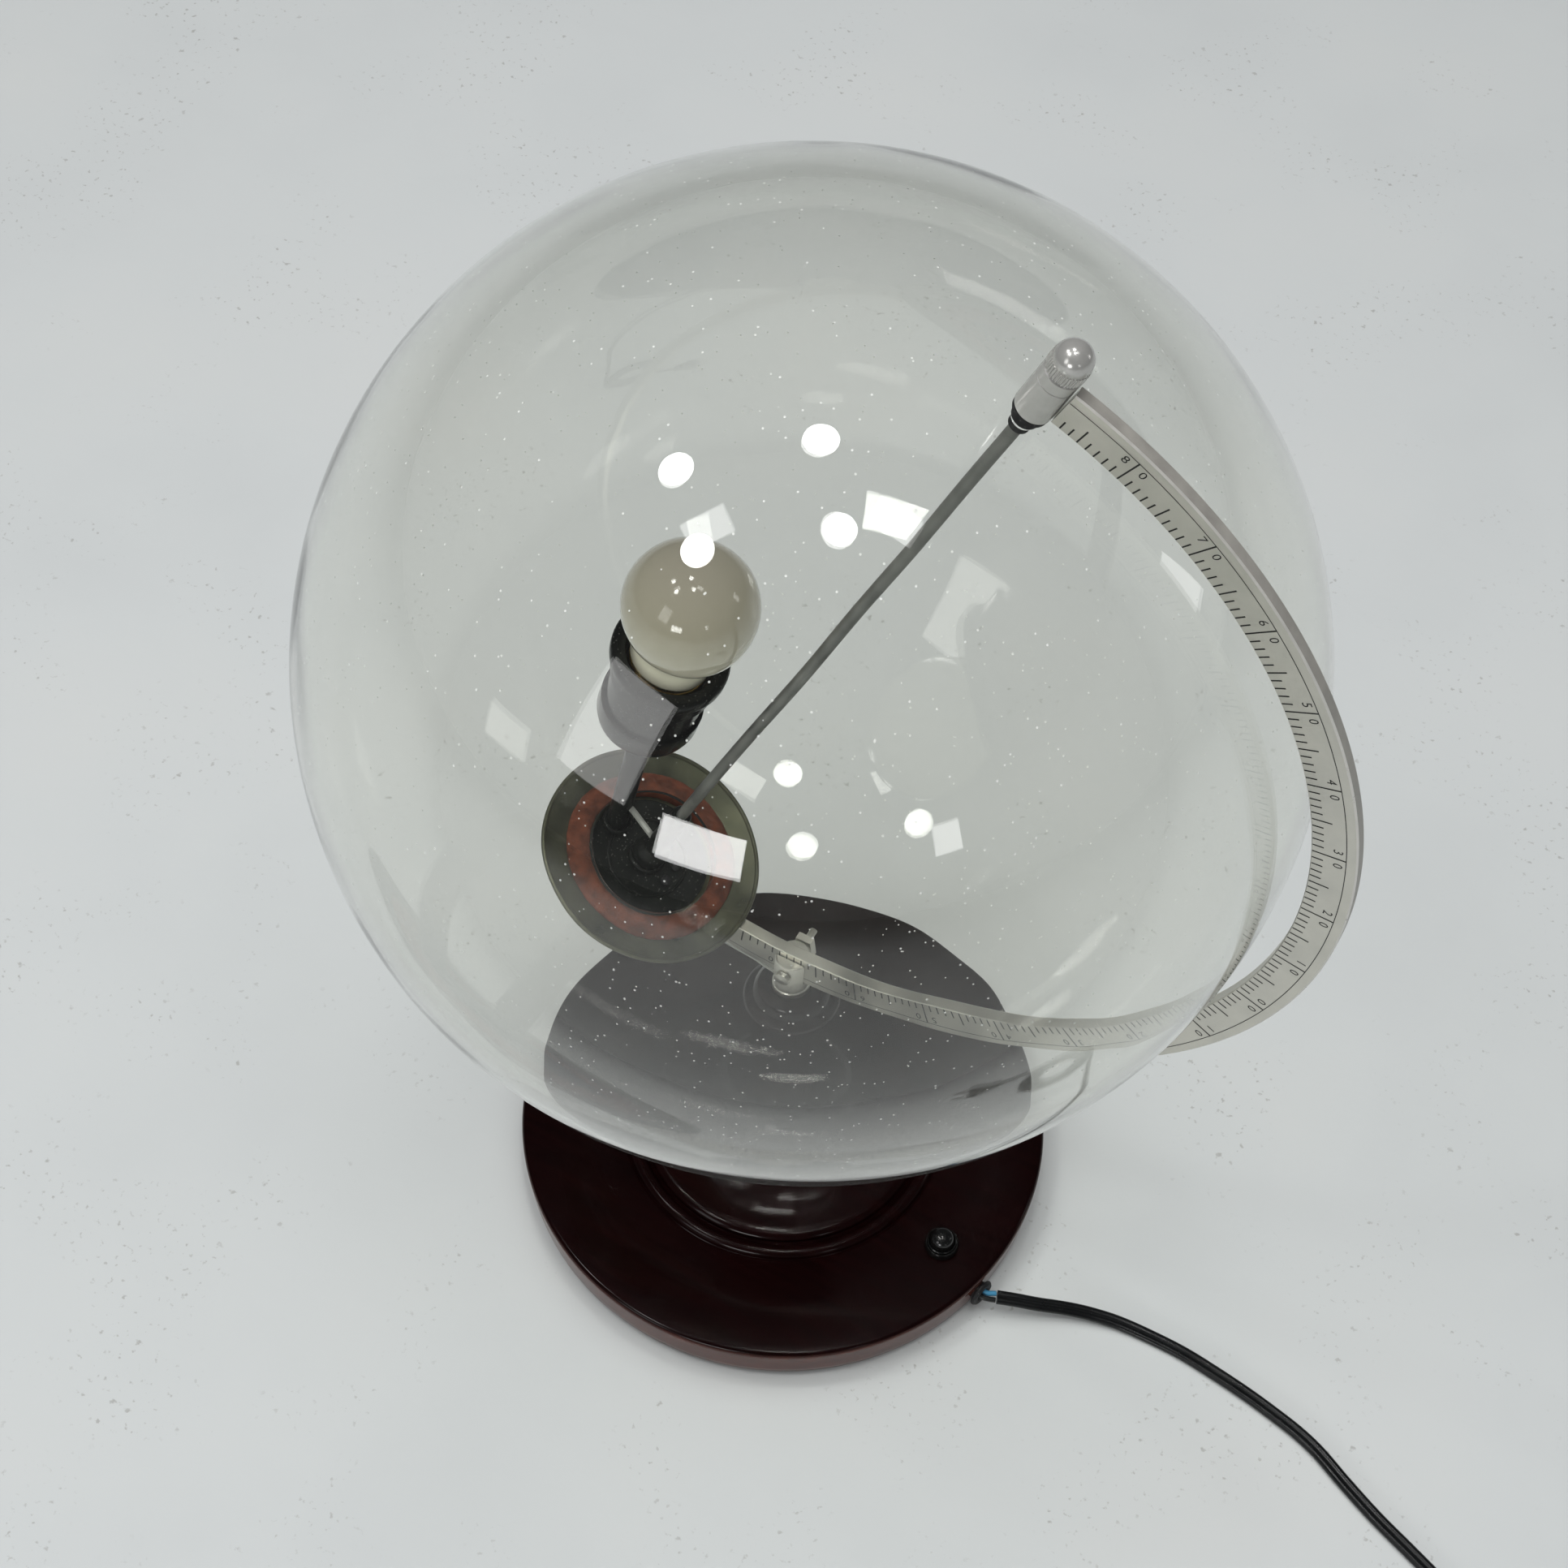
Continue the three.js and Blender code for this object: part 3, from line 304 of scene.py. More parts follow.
PAINT = {
    "felt": surface("felt", (0.025, 0.035, 0.026), 0.95, mottle=6, grain=0.5, bump=0.5, sheen=0.4),
    "lacquered_wood": lacquered_wood("lacquered wood"),
    "iron": surface("cast iron", (0.07, 0.07, 0.072), 0.7, 1, grain=1.2, bump=0.35),
    "zinc_steel": surface("zinc plated steel", (0.42, 0.42, 0.4), 0.38, 1, mottle=6),
    "switch_plastic": surface("switch plastic", (0.004, 0.004, 0.004), 0.2, mottle=5, dust=0.04, coat=0.3),
    "brass": surface("brass", (0.5, 0.34, 0.12), 0.35, 1, mottle=5),
    "black_rubber": surface("black rubber", (0.006, 0.006, 0.007), 0.6, mottle=4, grain=0.4, bump=0.2,
                            dust=0.1),
    "satin_nickel": surface("satin nickel", (0.63, 0.615, 0.555), 0.36, 1, mottle=16, change=0.08, grain=0.35,
                            bump=0.12),
    "bright_nickel": surface("bright nickel", (0.55, 0.545, 0.52), 0.2, 0.55, mottle=5, change=0.06,
                             grain=0.4, bump=0.05),
    "dull_steel": surface("dull steel", (0.23, 0.235, 0.22), 0.5, 0.75, mottle=12, change=0.28, grain=0.6,
                          bump=0.3),
    "clear_glass": globe_glass("globe glass"),
    "grey_metal_dish": surface("grey metal dish", (0.10, 0.102, 0.066), 0.34, 0.7, mottle=14, change=0.35,
                               grain=0.7, bump=0.2),
    "red_rubber": surface("red sponge rubber", (0.13, 0.036, 0.017), 0.95, mottle=5, change=0.5, grain=0.8,
                          bump=0.8, gloss=0.08),
    "black_metal": surface("black metal", (0.0065, 0.0075, 0.0065), 0.42, mottle=7, change=0.3, grain=0.6,
                           bump=0.25, dust=0.14, gloss=0.25),
    "bakelite": surface("bakelite", (0.0045, 0.005, 0.0045), 0.16, mottle=14, dust=0.07, coat=0.05,
                        gloss=0.22),
    "porcelain": surface("porcelain", (0.7, 0.67, 0.58), 0.3, mottle=8, change=0.05),
    "opal_glass": pearl_glass("pearl glass"),
    "bulb_cap_metal": surface("bulb cap", (0.6, 0.6, 0.57), 0.3, 1, mottle=5),
    "blue_insulation": surface("blue insulation", (0.06, 0.27, 0.46), 0.35, mottle=3, change=0.08),
    "black_insulation": surface("black insulation", (0.008, 0.009, 0.009), 0.35, mottle=3),
    "clear_insulation": surface("clear insulation", (0.36, 0.37, 0.34), 0.2, mottle=4, change=0.1),
    "black_cord": surface("black cord", (0.0055, 0.006, 0.0065), 0.27, mottle=18, grain=1.5, bump=0.06,
                          gloss=0.35),
    "cord_tie": surface("cord tie", (0.008, 0.009, 0.009), 0.5, mottle=3),
    "plug_plastic": surface("plug plastic", (0.006, 0.0065, 0.007), 0.3, mottle=6, grain=0.5, bump=0.1),
    "plug_nickel": surface("plug nickel", (0.66, 0.65, 0.6), 0.2, 1, mottle=4),
}
RIM_METAL = surface("arm rim", (0.36, 0.345, 0.315), 0.4, 0.25, mottle=9, change=0.16, grain=0.4, bump=0.04)
# Paler half-diffuse metal for the bevel: a painted highlight line, on top of the bevel's own reflections.
LIP_HIGHLIGHT_METAL = surface("arm lip", (0.74, 0.72, 0.68), 0.34, 0.5, mottle=6, change=0.05, bump=0.0)
INK = surface("engraving", (0.016, 0.015, 0.014), 0.6, mottle=3)
CREAM = surface("bulb neck enamel", (0.95, 0.92, 0.74), 0.22, mottle=9, change=0.06, coat=0.3)

# ----- Mesh helpers -----

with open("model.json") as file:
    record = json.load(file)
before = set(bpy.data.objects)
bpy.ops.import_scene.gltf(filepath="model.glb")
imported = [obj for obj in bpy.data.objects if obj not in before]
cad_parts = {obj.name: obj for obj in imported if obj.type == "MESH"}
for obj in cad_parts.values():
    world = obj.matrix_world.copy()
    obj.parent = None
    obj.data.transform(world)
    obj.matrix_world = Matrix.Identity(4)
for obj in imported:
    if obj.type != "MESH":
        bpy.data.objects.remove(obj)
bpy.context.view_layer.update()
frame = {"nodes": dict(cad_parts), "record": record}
SLOT_OF = {part["node"]: part["material_slot"] for part in frame["record"]["subparts"]}


def mesh(name, points, faces, where=WORLD, sharp=32):
    """Object from points in millimetres; edges steeper than `sharp` degrees stay crisp."""
    data = bpy.data.meshes.new(name)
    data.from_pydata([(where @ Vector(p)) * MM for p in points], [], faces)
    build = bmesh.new()
    build.from_mesh(data)
    bmesh.ops.remove_doubles(build, verts=build.verts, dist=1e-7)
    bmesh.ops.recalc_face_normals(build, faces=build.faces)
    crisp_edges(build, sharp)
    build.to_mesh(data)
    build.free()
    made = bpy.data.objects.new(name, data)
    bpy.context.scene.collection.objects.link(made)
    return made


def crisp_edges(build, sharp):
    for face in build.faces:
        face.smooth = True
    for edge in build.edges:
        edge.smooth = edge.is_manifold and edge.calc_face_angle(0) < math.radians(sharp)


def turned(name, profile, where=WORLD, segments=96, sharp=32):
    """Solid of revolution about local Z from [radius, z] points."""
    points = []
    rows = []
    for radius, z in profile:
        if radius < 1e-6:
            rows.append([len(points)] * segments)
            points.append((0, 0, z))
            continue
        rows.append(list(range(len(points), len(points) + segments)))
        for i in range(segments):
            angle = 2 * math.pi * i / segments
            points.append((radius * math.cos(angle), radius * math.sin(angle), z))
    faces = []
    for low, high in zip(rows, rows[1:]):
        for i in range(segments):
            j = (i + 1) % segments
            corners = [low[i], low[j], high[j], high[i]]
            unique = list(dict.fromkeys(corners))
            if len(unique) > 2:
                faces.append(unique)
    return mesh(name, points, faces, where, sharp)


def closed(profile):
    return [*profile, profile[0]]


def ring_profile(inner, outer, low, high, edge=0.25):
    """Rectangle section with its outer edges eased."""
    return closed([(inner, low), (outer - edge, low), (outer, low + edge), (outer, high - edge),
                   (outer - edge, high), (inner, high)])


def arc(radius, start, end, steps):
    """[radius, z] points of an arc about the origin; angles from +Z, degrees."""
    angles = [math.radians(start + (end - start) * i / steps) for i in range(steps + 1)]
    return [(radius * math.sin(a), radius * math.cos(a)) for a in angles]


def rod_profile(radius, low, high):
    return [(0, low), (radius, low), (radius, high), (0, high)]


def round_section(radius, sides=16):
    angles = [2 * math.pi * i / sides for i in range(sides)]
    return [(radius * math.cos(a), radius * math.sin(a)) for a in angles]


def bead_profile(radius, z, size, steps):
    """Round section of a thin bead that runs round the axis."""
    return closed([(radius + x, z + y) for x, y in round_section(size, steps)])


def quarter_dome(radius, base, rise, steps):
    """[radius, z] points from the foot of a dome up to just short of its top."""
    angles = [math.pi / 2 * i / steps for i in range(steps)]
    return [(radius * math.cos(a), base + rise * math.sin(a)) for a in angles]


def polar_angle(offset, radius):
    return math.degrees(math.asin(offset / radius))


def drill(piece, cutters):
    """Cut the cutters out of the piece, for good."""
    for cutter in cutters:
        modifier = piece.modifiers.new("cut", "BOOLEAN")
        modifier.object = cutter
        modifier.solver = "EXACT"
    bpy.context.view_layer.update()
    result = bpy.data.meshes.new_from_object(piece.evaluated_get(bpy.context.evaluated_depsgraph_get()))
    piece.modifiers.clear()
    piece.data = result
    for cutter in cutters:
        bpy.data.objects.remove(cutter)
    build = bmesh.new()
    build.from_mesh(result)
    crisp_edges(build, 32)
    build.to_mesh(result)
    build.free()


def dress(piece, slot, body="stand", nodes=(), paint=None):
    """Give a piece its material and body, and hide the CAD nodes it stands for."""
    piece.data.materials.clear()
    piece.data.materials.append(paint or PAINT[slot])
    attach(piece, body)
    if nodes:
        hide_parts(*nodes)
    return piece


def turned_piece(node_name, profile, where=WORLD, body="stand", segments=96, sharp=32):
    """Turned piece that stands for the CAD node of the same name."""
    piece = turned(node_name + "_fine", profile, where, segments, sharp)
    return dress(piece, SLOT_OF[node_name], body, [node_name])


def catmull(points, per_span):
    """Smooth centreline through the points."""
    points = [Vector(p) for p in points]
    padded = [2 * points[0] - points[1], *points, 2 * points[-1] - points[-2]]
    line = []
    for a, b, c, d in zip(padded, padded[1:], padded[2:], padded[3:]):
        for i in range(per_span):
            t = i / per_span
            line.append(0.5 * (2 * b + (c - a) * t + (2 * a - 5 * b + 4 * c - d) * t * t
                               + (3 * b - a - 3 * c + d) * t ** 3))
    line.append(points[-1])
    return line


def tube_faces(rings, count):
    """Faces of a tube of so many rings of `count` points, closed at both ends."""
    faces = []
    for start in range(0, (rings - 1) * count, count):
        for k in range(count):
            here = start + k
            beside = start + (k + 1) % count
            faces.append([here, beside, beside + count, here + count])
    last = (rings - 1) * count
    return [*faces, list(range(count))[::-1], list(range(last, last + count))]


def swept(name, section, line, sharp=50):
    """Sweep a section of (sideways, upwards) points along a line, kept level, with end faces."""
    points = []
    side = Vector((0, 1, 0))
    for i, place in enumerate(line):
        ahead = (line[min(i + 1, len(line) - 1)] - line[max(i - 1, 0)]).normalized()
        level = Vector((0, 0, 1)).cross(ahead)
        if level.length > 0.2:
            fresh = level.normalized()
            side = fresh if fresh.dot(side) >= 0 or i == 0 else -fresh
        side = (side - ahead * side.dot(ahead)).normalized()
        up = ahead.cross(side)
        points += [place + side * a + up * b for a, b in section]
    return mesh(name, points, tube_faces(len(line), len(section)), sharp=sharp)


def prism(name, outline, depth, where=WORLD, ease=0.0, steps=3):
    """Outline in local XY raised by depth, with eased edges."""
    count = len(outline)
    points = [(x, y, 0) for x, y in outline] + [(x, y, depth) for x, y in outline]
    faces = [[i, (i + 1) % count, count + (i + 1) % count, count + i] for i in range(count)]
    faces += [list(range(count))[::-1], [count + i for i in range(count)]]
    piece = mesh(name, points, faces, where)
    if ease:
        build = bmesh.new()
        build.from_mesh(piece.data)
        bmesh.ops.bevel(build, geom=build.edges[:], offset=ease * MM, segments=steps, affect="EDGES",
                        profile=0.6, clamp_overlap=True)
        crisp_edges(build, 40)
        build.to_mesh(piece.data)
        build.free()
    return piece


# ----- Foot and column -----


def half_round(centre, half, floor, height, steps=10):
    """Half of an ellipse standing on a flat face, from its outer side to its inner one."""
    return [(centre + half * math.cos(math.pi * i / steps), floor + height * math.sin(math.pi * i / steps))
            for i in range(steps + 1)]


def rounded_lip(radius, top, ease, steps=6):
    """Quarter circle from the side wall up onto the top face."""
    angles = [math.pi / 2 * i / steps for i in range(steps + 1)]
    return [(radius - ease + ease * math.cos(a), top - ease + ease * math.sin(a)) for a in angles]


def build_foot():
    low = 2.0
    turned_piece("felt_pad", [(0, 0), (101.4, 0), (102, 0.5), (102, 1.3), (101.5, 1.7), (0, 1.7)])
    wood = turned("base_disc_fine", closed([
        (RECESS_R, low), (BASE_R - 4.2, low), (BASE_R - 2.6, low + 0.7), (BASE_R - 1.7, low + 2.4),
        (BASE_R - 1.1, low + 6), (BASE_R - 0.2, BASE_TOP - 4), *rounded_lip(BASE_R, BASE_TOP, 2.2),
        (BEAD_R + BEAD_HALF + 1.2, BASE_TOP), (BEAD_R + BEAD_HALF + 0.3, BASE_TOP - 0.5),
        *half_round(BEAD_R, BEAD_HALF, BASE_TOP - 0.2, 2.9),
        (BEAD_R - BEAD_HALF - 0.5, BASE_TOP - 0.7), (BEAD_R - BEAD_HALF - 1.4, BASE_TOP),
        (POST_HOLE_R, BASE_TOP), (POST_HOLE_R, RECESS_TOP), (RECESS_R, RECESS_TOP),
    ]), segments=192)
    switch_hole = turned("switch_hole", rod_profile(6.1, 0, 40), SWITCH, 48)
    outlet_hole = turned("outlet_hole", rod_profile(4.3, 90, 115), OUTLET, 40)
    drill(wood, [switch_hole, outlet_hole])
    dress(wood, "lacquered_wood", nodes=["base_disc"])

    low = BASE_TOP + GAP
    foot = BEAD_R - BEAD_HALF - 2.2
    shaft = 15.5
    angles = [math.pi / 2 * i / 18 for i in range(19)]
    cove = [(shaft + (foot - 5 - shaft) * (1 - math.sin(a)), low + 3.4 + 36 * (1 - math.cos(a)))
            for a in angles]
    turned_piece("column", closed([
        (POST_HOLE_R, low), (foot, low), (foot + 0.6, low + 1.2), (foot - 0.2, low + 2.6),
        (foot - 2.6, low + 3.2), *cove, (shaft - 0.5, 74), (shaft - 0.6, 84), (shaft, 106),
        (shaft + 1.2, 111), (shaft + 3, 113), (shaft + 3.4, 115.2), (shaft + 2.4, 117.2),
        (shaft - 0.4, 118.4), (shaft - 0.9, 121.4),
        (shaft - 2.6, COLUMN_TOP), (POST_HOLE_R, COLUMN_TOP),
    ]), sharp=50)


def build_switch():
    top = BASE_TOP
    turned_piece("switch_body", [
        (0, 5.2), (7, 5.2), (7, 14.2), (5.8, 14.2), (5.8, top + 4.1), (5.5, top + 4.4), (5.2, top + 4.2),
        (5.2, 15.5), (0, 15.5),
    ], SWITCH, segments=64)
    turned_piece("switch_ring", closed([
        (6.1, top + GAP), (6.8, top + GAP), (6.9, top + 0.8), (6.9, top + 2.6), (6.4, top + 3.6),
        (6.1, top + 3.6),
    ]), SWITCH, segments=64)
    dome = quarter_dome(4.9, top + 6, 3.7, 8)
    turned_piece("switch_button", [(0, 19.2), (4.9, 19.2), *dome, (0, top + 9.7)], SWITCH, "button", 64)
    turned_piece("cord_grommet", closed([
        (2.9, RECESS_R + 0.8), (4, RECESS_R + 0.8), (4, BASE_R + GAP), (5.5, BASE_R + GAP),
        (5.8, BASE_R + 0.7), (5.7, BASE_R + 1.4), (5.1, BASE_R + 2.1), (3.3, BASE_R + 2.1),
        (2.9, BASE_R + 1.7),
    ]), OUTLET, segments=48)


# ----- Meridian arm with its engraved scale, clamp and north fitting -----

ARM_FACE = -ARM_THICK / 2
LIP_R = 192.4
ARM_NORTH = 87.95
ARM_SOUTH = -93.2
ARM_STEPS = 240

MARK_HALF = math.degrees(0.28 / 183)  # 0.28 mm as an angle, half-way along the marks
ONE_DEGREE_R = 181.8
FIVE_DEGREE_R = 184.8
BORDER_R = 189.1
BORDER_WIDTH = 0.3
BORDER_NORTH = 87.9
BORDER_SWEEP = 180.5
BORDER_STEPS = 360
DIGIT_R = 186.6
DIGIT_HEIGHT = 3.2
DIGIT_OFFSET = 1.05  # degrees to each side of the long mark
KNURL_RIDGES = 40


def arm_point(radius, latitude, y):
    angle = math.radians(latitude)
    return (radius * math.cos(angle), y, radius * math.sin(angle))


def build_arm():
    """The flat half-circle arm, with a duller outer rim and, in front of it, a bevel painted paler as a
    highlight.
    """
    back = ARM_THICK / 2
    section = [
        (ARM_INNER + 0.3, ARM_FACE), (LIP_R, ARM_FACE), (ARM_OUTER, ARM_FACE + 0.55),
        (ARM_OUTER, back - 0.4), (ARM_OUTER - 0.4, back), (ARM_INNER + 0.3, back),
        (ARM_INNER, back - 0.3), (ARM_INNER, ARM_FACE + 0.3),
    ]
    points = []
    for i in range(ARM_STEPS + 1):
        latitude = ARM_NORTH + (ARM_SOUTH - ARM_NORTH) * i / ARM_STEPS
        points += [arm_point(radius, latitude, y) for radius, y in section]
    arm = mesh("meridian_arm_fine", points, tube_faces(ARM_STEPS + 1, len(section)), AXIS)
    post_hole = turned("post_hole", rod_profile(POST_HOLE_R, -210, -165), AXIS, 48)
    drill(arm, [post_hole])
    dress(arm, "satin_nickel", nodes=["meridian_arm"])
    arm.data.materials.append(RIM_METAL)
    arm.data.materials.append(LIP_HIGHLIGHT_METAL)
    centre = Vector((0, 0, GLOBE_Z * MM))
    for face in arm.data.polygons:
        offset = face.center - centre
        outward = face.normal.dot(Vector((offset.x, 0, offset.z)).normalized())
        if outward > 0.95:
            face.material_index = 1
        # The forward-facing bevel gets the painted highlight metal.
        elif outward > 0.3 and face.normal.y < 0:
            face.material_index = 2
    boss = turned("arm_boss", ring_profile(POST_HOLE_R, 8.5, -193.4, -177.5), AXIS, 48)
    dress(boss, "satin_nickel")


def digit_shapes(characters):
    """Flat outlines of the digits as (points, faces), each centred on the origin, one unit tall."""
    shapes = {}
    for character in characters:
        curve = bpy.data.curves.new("digit", "FONT")
        curve.body = character
        curve.resolution_u = 3
        holder = bpy.data.objects.new("digit", curve)
        bpy.context.scene.collection.objects.link(holder)
        bpy.context.view_layer.update()
        data = bpy.data.meshes.new_from_object(holder.evaluated_get(bpy.context.evaluated_depsgraph_get()))
        xs = [v.co.x for v in data.vertices]
        ys = [v.co.y for v in data.vertices]
        middle = ((min(xs) + max(xs)) / 2, (min(ys) + max(ys)) / 2)
        tall = max(ys) - min(ys)
        points = [((v.co.x - middle[0]) / tall, (v.co.y - middle[1]) / tall) for v in data.vertices]
        shapes[character] = (points, [list(p.vertices) for p in data.polygons])
        bpy.data.objects.remove(holder)
        bpy.data.curves.remove(curve)
        bpy.data.meshes.remove(data)
    return shapes


def build_scale():
    """Degree marks, number pairs and the fine border line, filled with dark ink."""
    points = []
    faces = []
    depth = ARM_FACE - 0.03

    def patch(low_r, high_r, first, second):
        faces.append(list(range(len(points), len(points) + 4)))
        for radius, latitude in ((low_r, first), (high_r, first), (high_r, second), (low_r, second)):
            points.append(arm_point(radius, latitude, depth))

    for latitude in range(87, -93, -1):
        reach = ONE_DEGREE_R
        if latitude % 10 == 0:
            reach = BORDER_R
        elif latitude % 5 == 0:
            reach = FIVE_DEGREE_R
        patch(ARM_INNER + 0.4, reach, latitude - MARK_HALF, latitude + MARK_HALF)
    for i in range(BORDER_STEPS):
        first, second = (BORDER_NORTH - BORDER_SWEEP * k / BORDER_STEPS for k in (i, i + 1))
        patch(BORDER_R, BORDER_R + BORDER_WIDTH, first, second)

    shapes = digit_shapes("012345678")
    for latitude in range(80, -90, -10):
        for character, side in zip(f"{abs(latitude):02d}", (1, -1)):
            centre = latitude + DIGIT_OFFSET * side
            outline, polygons = shapes[character]
            start = len(points)
            for x, y in outline:
                turn = math.degrees(DIGIT_HEIGHT * x / DIGIT_R)
                points.append(arm_point(DIGIT_R + DIGIT_HEIGHT * y, centre - turn, depth))
            faces.extend([[start + k for k in polygon] for polygon in polygons])
    marks = mesh("scale_marks", points, faces, AXIS)
    dress(marks, "satin_nickel", paint=INK)


def build_clamp():
    low = COLUMN_TOP + GAP
    clamp = turned("arm_clamp_fine", [
        (0, low + 7), (POST_HOLE_R, low + 7), (POST_HOLE_R, low), (6.1, low), (7.4, low + 1.2),
        (7.4, low + 3.6), (7, low + 4.2), (7, 144), (6.7, 144.8), (6.1, 145.2), (0, 145.2),
    ], segments=64)
    slot_low = GLOBE_Z - ARM_OUTER - GAP
    half = ARM_THICK / 2 + GAP
    cutter = prism("clamp_slot", [(-20, -half), (20, -half), (20, half), (-20, half)], 40,
                   Matrix.Translation((0, 0, slot_low)))
    lead_hole = turned("lead_hole", rod_profile(LEAD_R + 0.6, 0, 12),
                       Matrix.Translation((0, 0, low + 4.6)) @ rotation(-90, "Y"), 24)
    drill(clamp, [cutter, lead_hole])
    dress(clamp, "satin_nickel", nodes=["arm_clamp"])


def build_north_fitting():
    hold = AXLE_R + GAP
    turned_piece("north_sleeve", closed([
        (hold, 176), (5.8, 176), (6.2, 176.4), (6.2, 191.5), (6.05, 191.65), (6.05, 191.85), (6.2, 192),
        (6.2, 196.2), (5.7, 196.7), (hold, 196.7),
    ]), AXIS)
    grip = []
    corners = KNURL_RIDGES * 4
    for i in range(corners):
        angle = 2 * math.pi * i / corners
        radius = 6.35 - (0.42 if i % 4 in (0, 1) else 0)
        grip.append((radius * math.cos(angle), radius * math.sin(angle)))
    knurl = prism("cap_knurl", grip, 4.2, AXIS @ Matrix.Translation((0, 0, 197.1)))
    dress(knurl, "bright_nickel", "cap")
    dome = quarter_dome(6.05, 202.05, 6.05, 16)
    turned_piece("north_cap", [
        (0, 203), (hold, 203), (hold, 197), (5.9, 197), (6.0, 197.1), (6.0, 201.3), *dome, (0, 208.1),
    ], AXIS, "cap")
    rod = turned("axis_rod_fine", rod_profile(AXLE_R, -152, 202), AXIS, 32)
    dress(rod, "dull_steel", nodes=["axis_rod"])
    turned_piece("north_bush", closed([
        (hold, 164.8), (3.2, 164.8), (3.4, 165.1), (3.4, 170.4), (4.5, 170.4), (4.6, 170.8), (4.6, 172.9),
        (4.3, 173.2), (hold, 173.2),
    ]), AXIS, "globe", 48)
    turned_piece("north_washer", ring_profile(hold, 5.8, 173.5, 175.7, 0.4), AXIS, "globe", 64)


# ----- Globe glass, cup, gasket and what holds them at the south end -----


def build_globe():
    """The blown wall is not quite even: its inner face wanders by a few tenths of a millimetre."""
    inner = GLOBE_R - GLASS_WALL
    outside = arc(GLOBE_R, polar_angle(NORTH_HOLE_R, GLOBE_R), 180 - polar_angle(MOUTH_R, GLOBE_R), 110)
    inside = arc(inner, 180 - polar_angle(MOUTH_R, inner), polar_angle(NORTH_HOLE_R, inner), 110)
    glass = turned("globe_glass_fine", closed([*outside, *inside]), AXIS, 220, 60)
    centre = AXIS.translation * MM
    for vertex in glass.data.vertices:
        out = vertex.co - centre
        if out.length < (GLOBE_R - 0.5) * MM:
            wander = noise.noise(out * 16.0) + 0.5 * noise.noise(out * 40.0)
            vertex.co += out.normalized() * (0.13 * wander * MM)
    dress(glass, "clear_glass", "globe", ["globe_glass"])


def south_shell(upper, lower, inner, outer, steps=24):
    """Section of a shell round the south pole, between two radii from the centre and two from the axis."""
    def side(radius, first, last):
        return arc(radius, 180 - polar_angle(first, radius), 180 - polar_angle(last, radius), steps)
    return closed([*side(upper, inner, outer), *side(lower, outer, inner)])


def roughen(piece, amount, size):
    """Push the points of a soft or hand-cut piece a little off the true shape."""
    for vertex in piece.data.vertices:
        vertex.co += noise.noise_vector(vertex.co / (size * MM)) * amount * MM


def build_south():
    turned_piece("south_cup", south_shell(176, 177.2, POST_HOLE_R, 43.4), AXIS, "globe", 128)
    dress(turned("cup_rim", bead_profile(43.3, -170.9, 0.9, 12), AXIS, 128), "grey_metal_dish", "globe")

    seat = 175.7
    inner, outer = MOUTH_R + 0.6, 34.1
    under = arc(seat, 180 - polar_angle(inner, seat), 180 - polar_angle(outer, seat), 10)
    crown = [(outer, -171.6), (33.6, -170.9), (32.6, -170.0), (31, -169.1), (29.2, -168.5), (27.4, -168.3),
             (inner + 0.6, -168.5), (inner, -169.1)]
    gasket = turned("south_gasket_fine", closed([*under, *crown]), AXIS, 220, 60)
    roughen(gasket, 0.22, 2.2)
    dress(gasket, "red_rubber", "globe", ["south_gasket"])

    turned_piece("inner_plate", south_shell(174.6, 175.7, POST_HOLE_R, 23.6), AXIS)
    dress(turned("plate_ridge", bead_profile(15.4, -173.95, 0.7, 10), AXIS, 96), "black_metal")
    turned_piece("south_post", ring_profile(POST_BORE_R, POST_R, -202, -166.1), AXIS, segments=48)
    turned_piece("post_ring", closed([
        (POST_HOLE_R, -174.1), (7.2, -174.1), (7.2, -172), (6.6, -171.4), (POST_HOLE_R, -171.4),
    ]), AXIS, segments=48)
    hold = AXLE_R + GAP
    socket = turned("rod_socket_fine", closed([
        (POST_HOLE_R, -171.1), (6.3, -171.1), (6.6, -170.6), (6.6, -166.3), (6.1, -165.4), (4.2, -162.6),
        (3.8, -131.6), (3.4, -131), (hold, -131), (hold, -164.4), (POST_HOLE_R, -165.7),
    ]), AXIS, 48)
    side_hole = turned("socket_hole", rod_profile(LEAD_R + 1.1, 0, 10),
                       AXIS @ Matrix.Translation((0, 0, -158)) @ rotation(-90, "Y"), 24)
    drill(socket, [side_hole])
    dress(socket, "black_metal", nodes=["rod_socket"])
    turned_piece("south_washer", ring_profile(POST_HOLE_R, 8.2, -194.9, -193.7), AXIS, segments=48)
    head = [(0, -173.7), (1.9, -173.7), (1.9, -172.9), (1.5, -172.4), (0.8, -172.15), (0, -172.1)]
    for index, side in enumerate((1, -1)):
        place = AXIS @ Matrix.Translation((10.8, side * 3.5, 0))
        turned_piece(f"plate_screw_{index + 1}", head, place, segments=24)


# ----- Lamp: stalk, holder and bulb -----

STALK_FOOT = (-17.5, 4, -172.3)
HOLDER_LOW = -77
THREAD_PITCH = 3.6


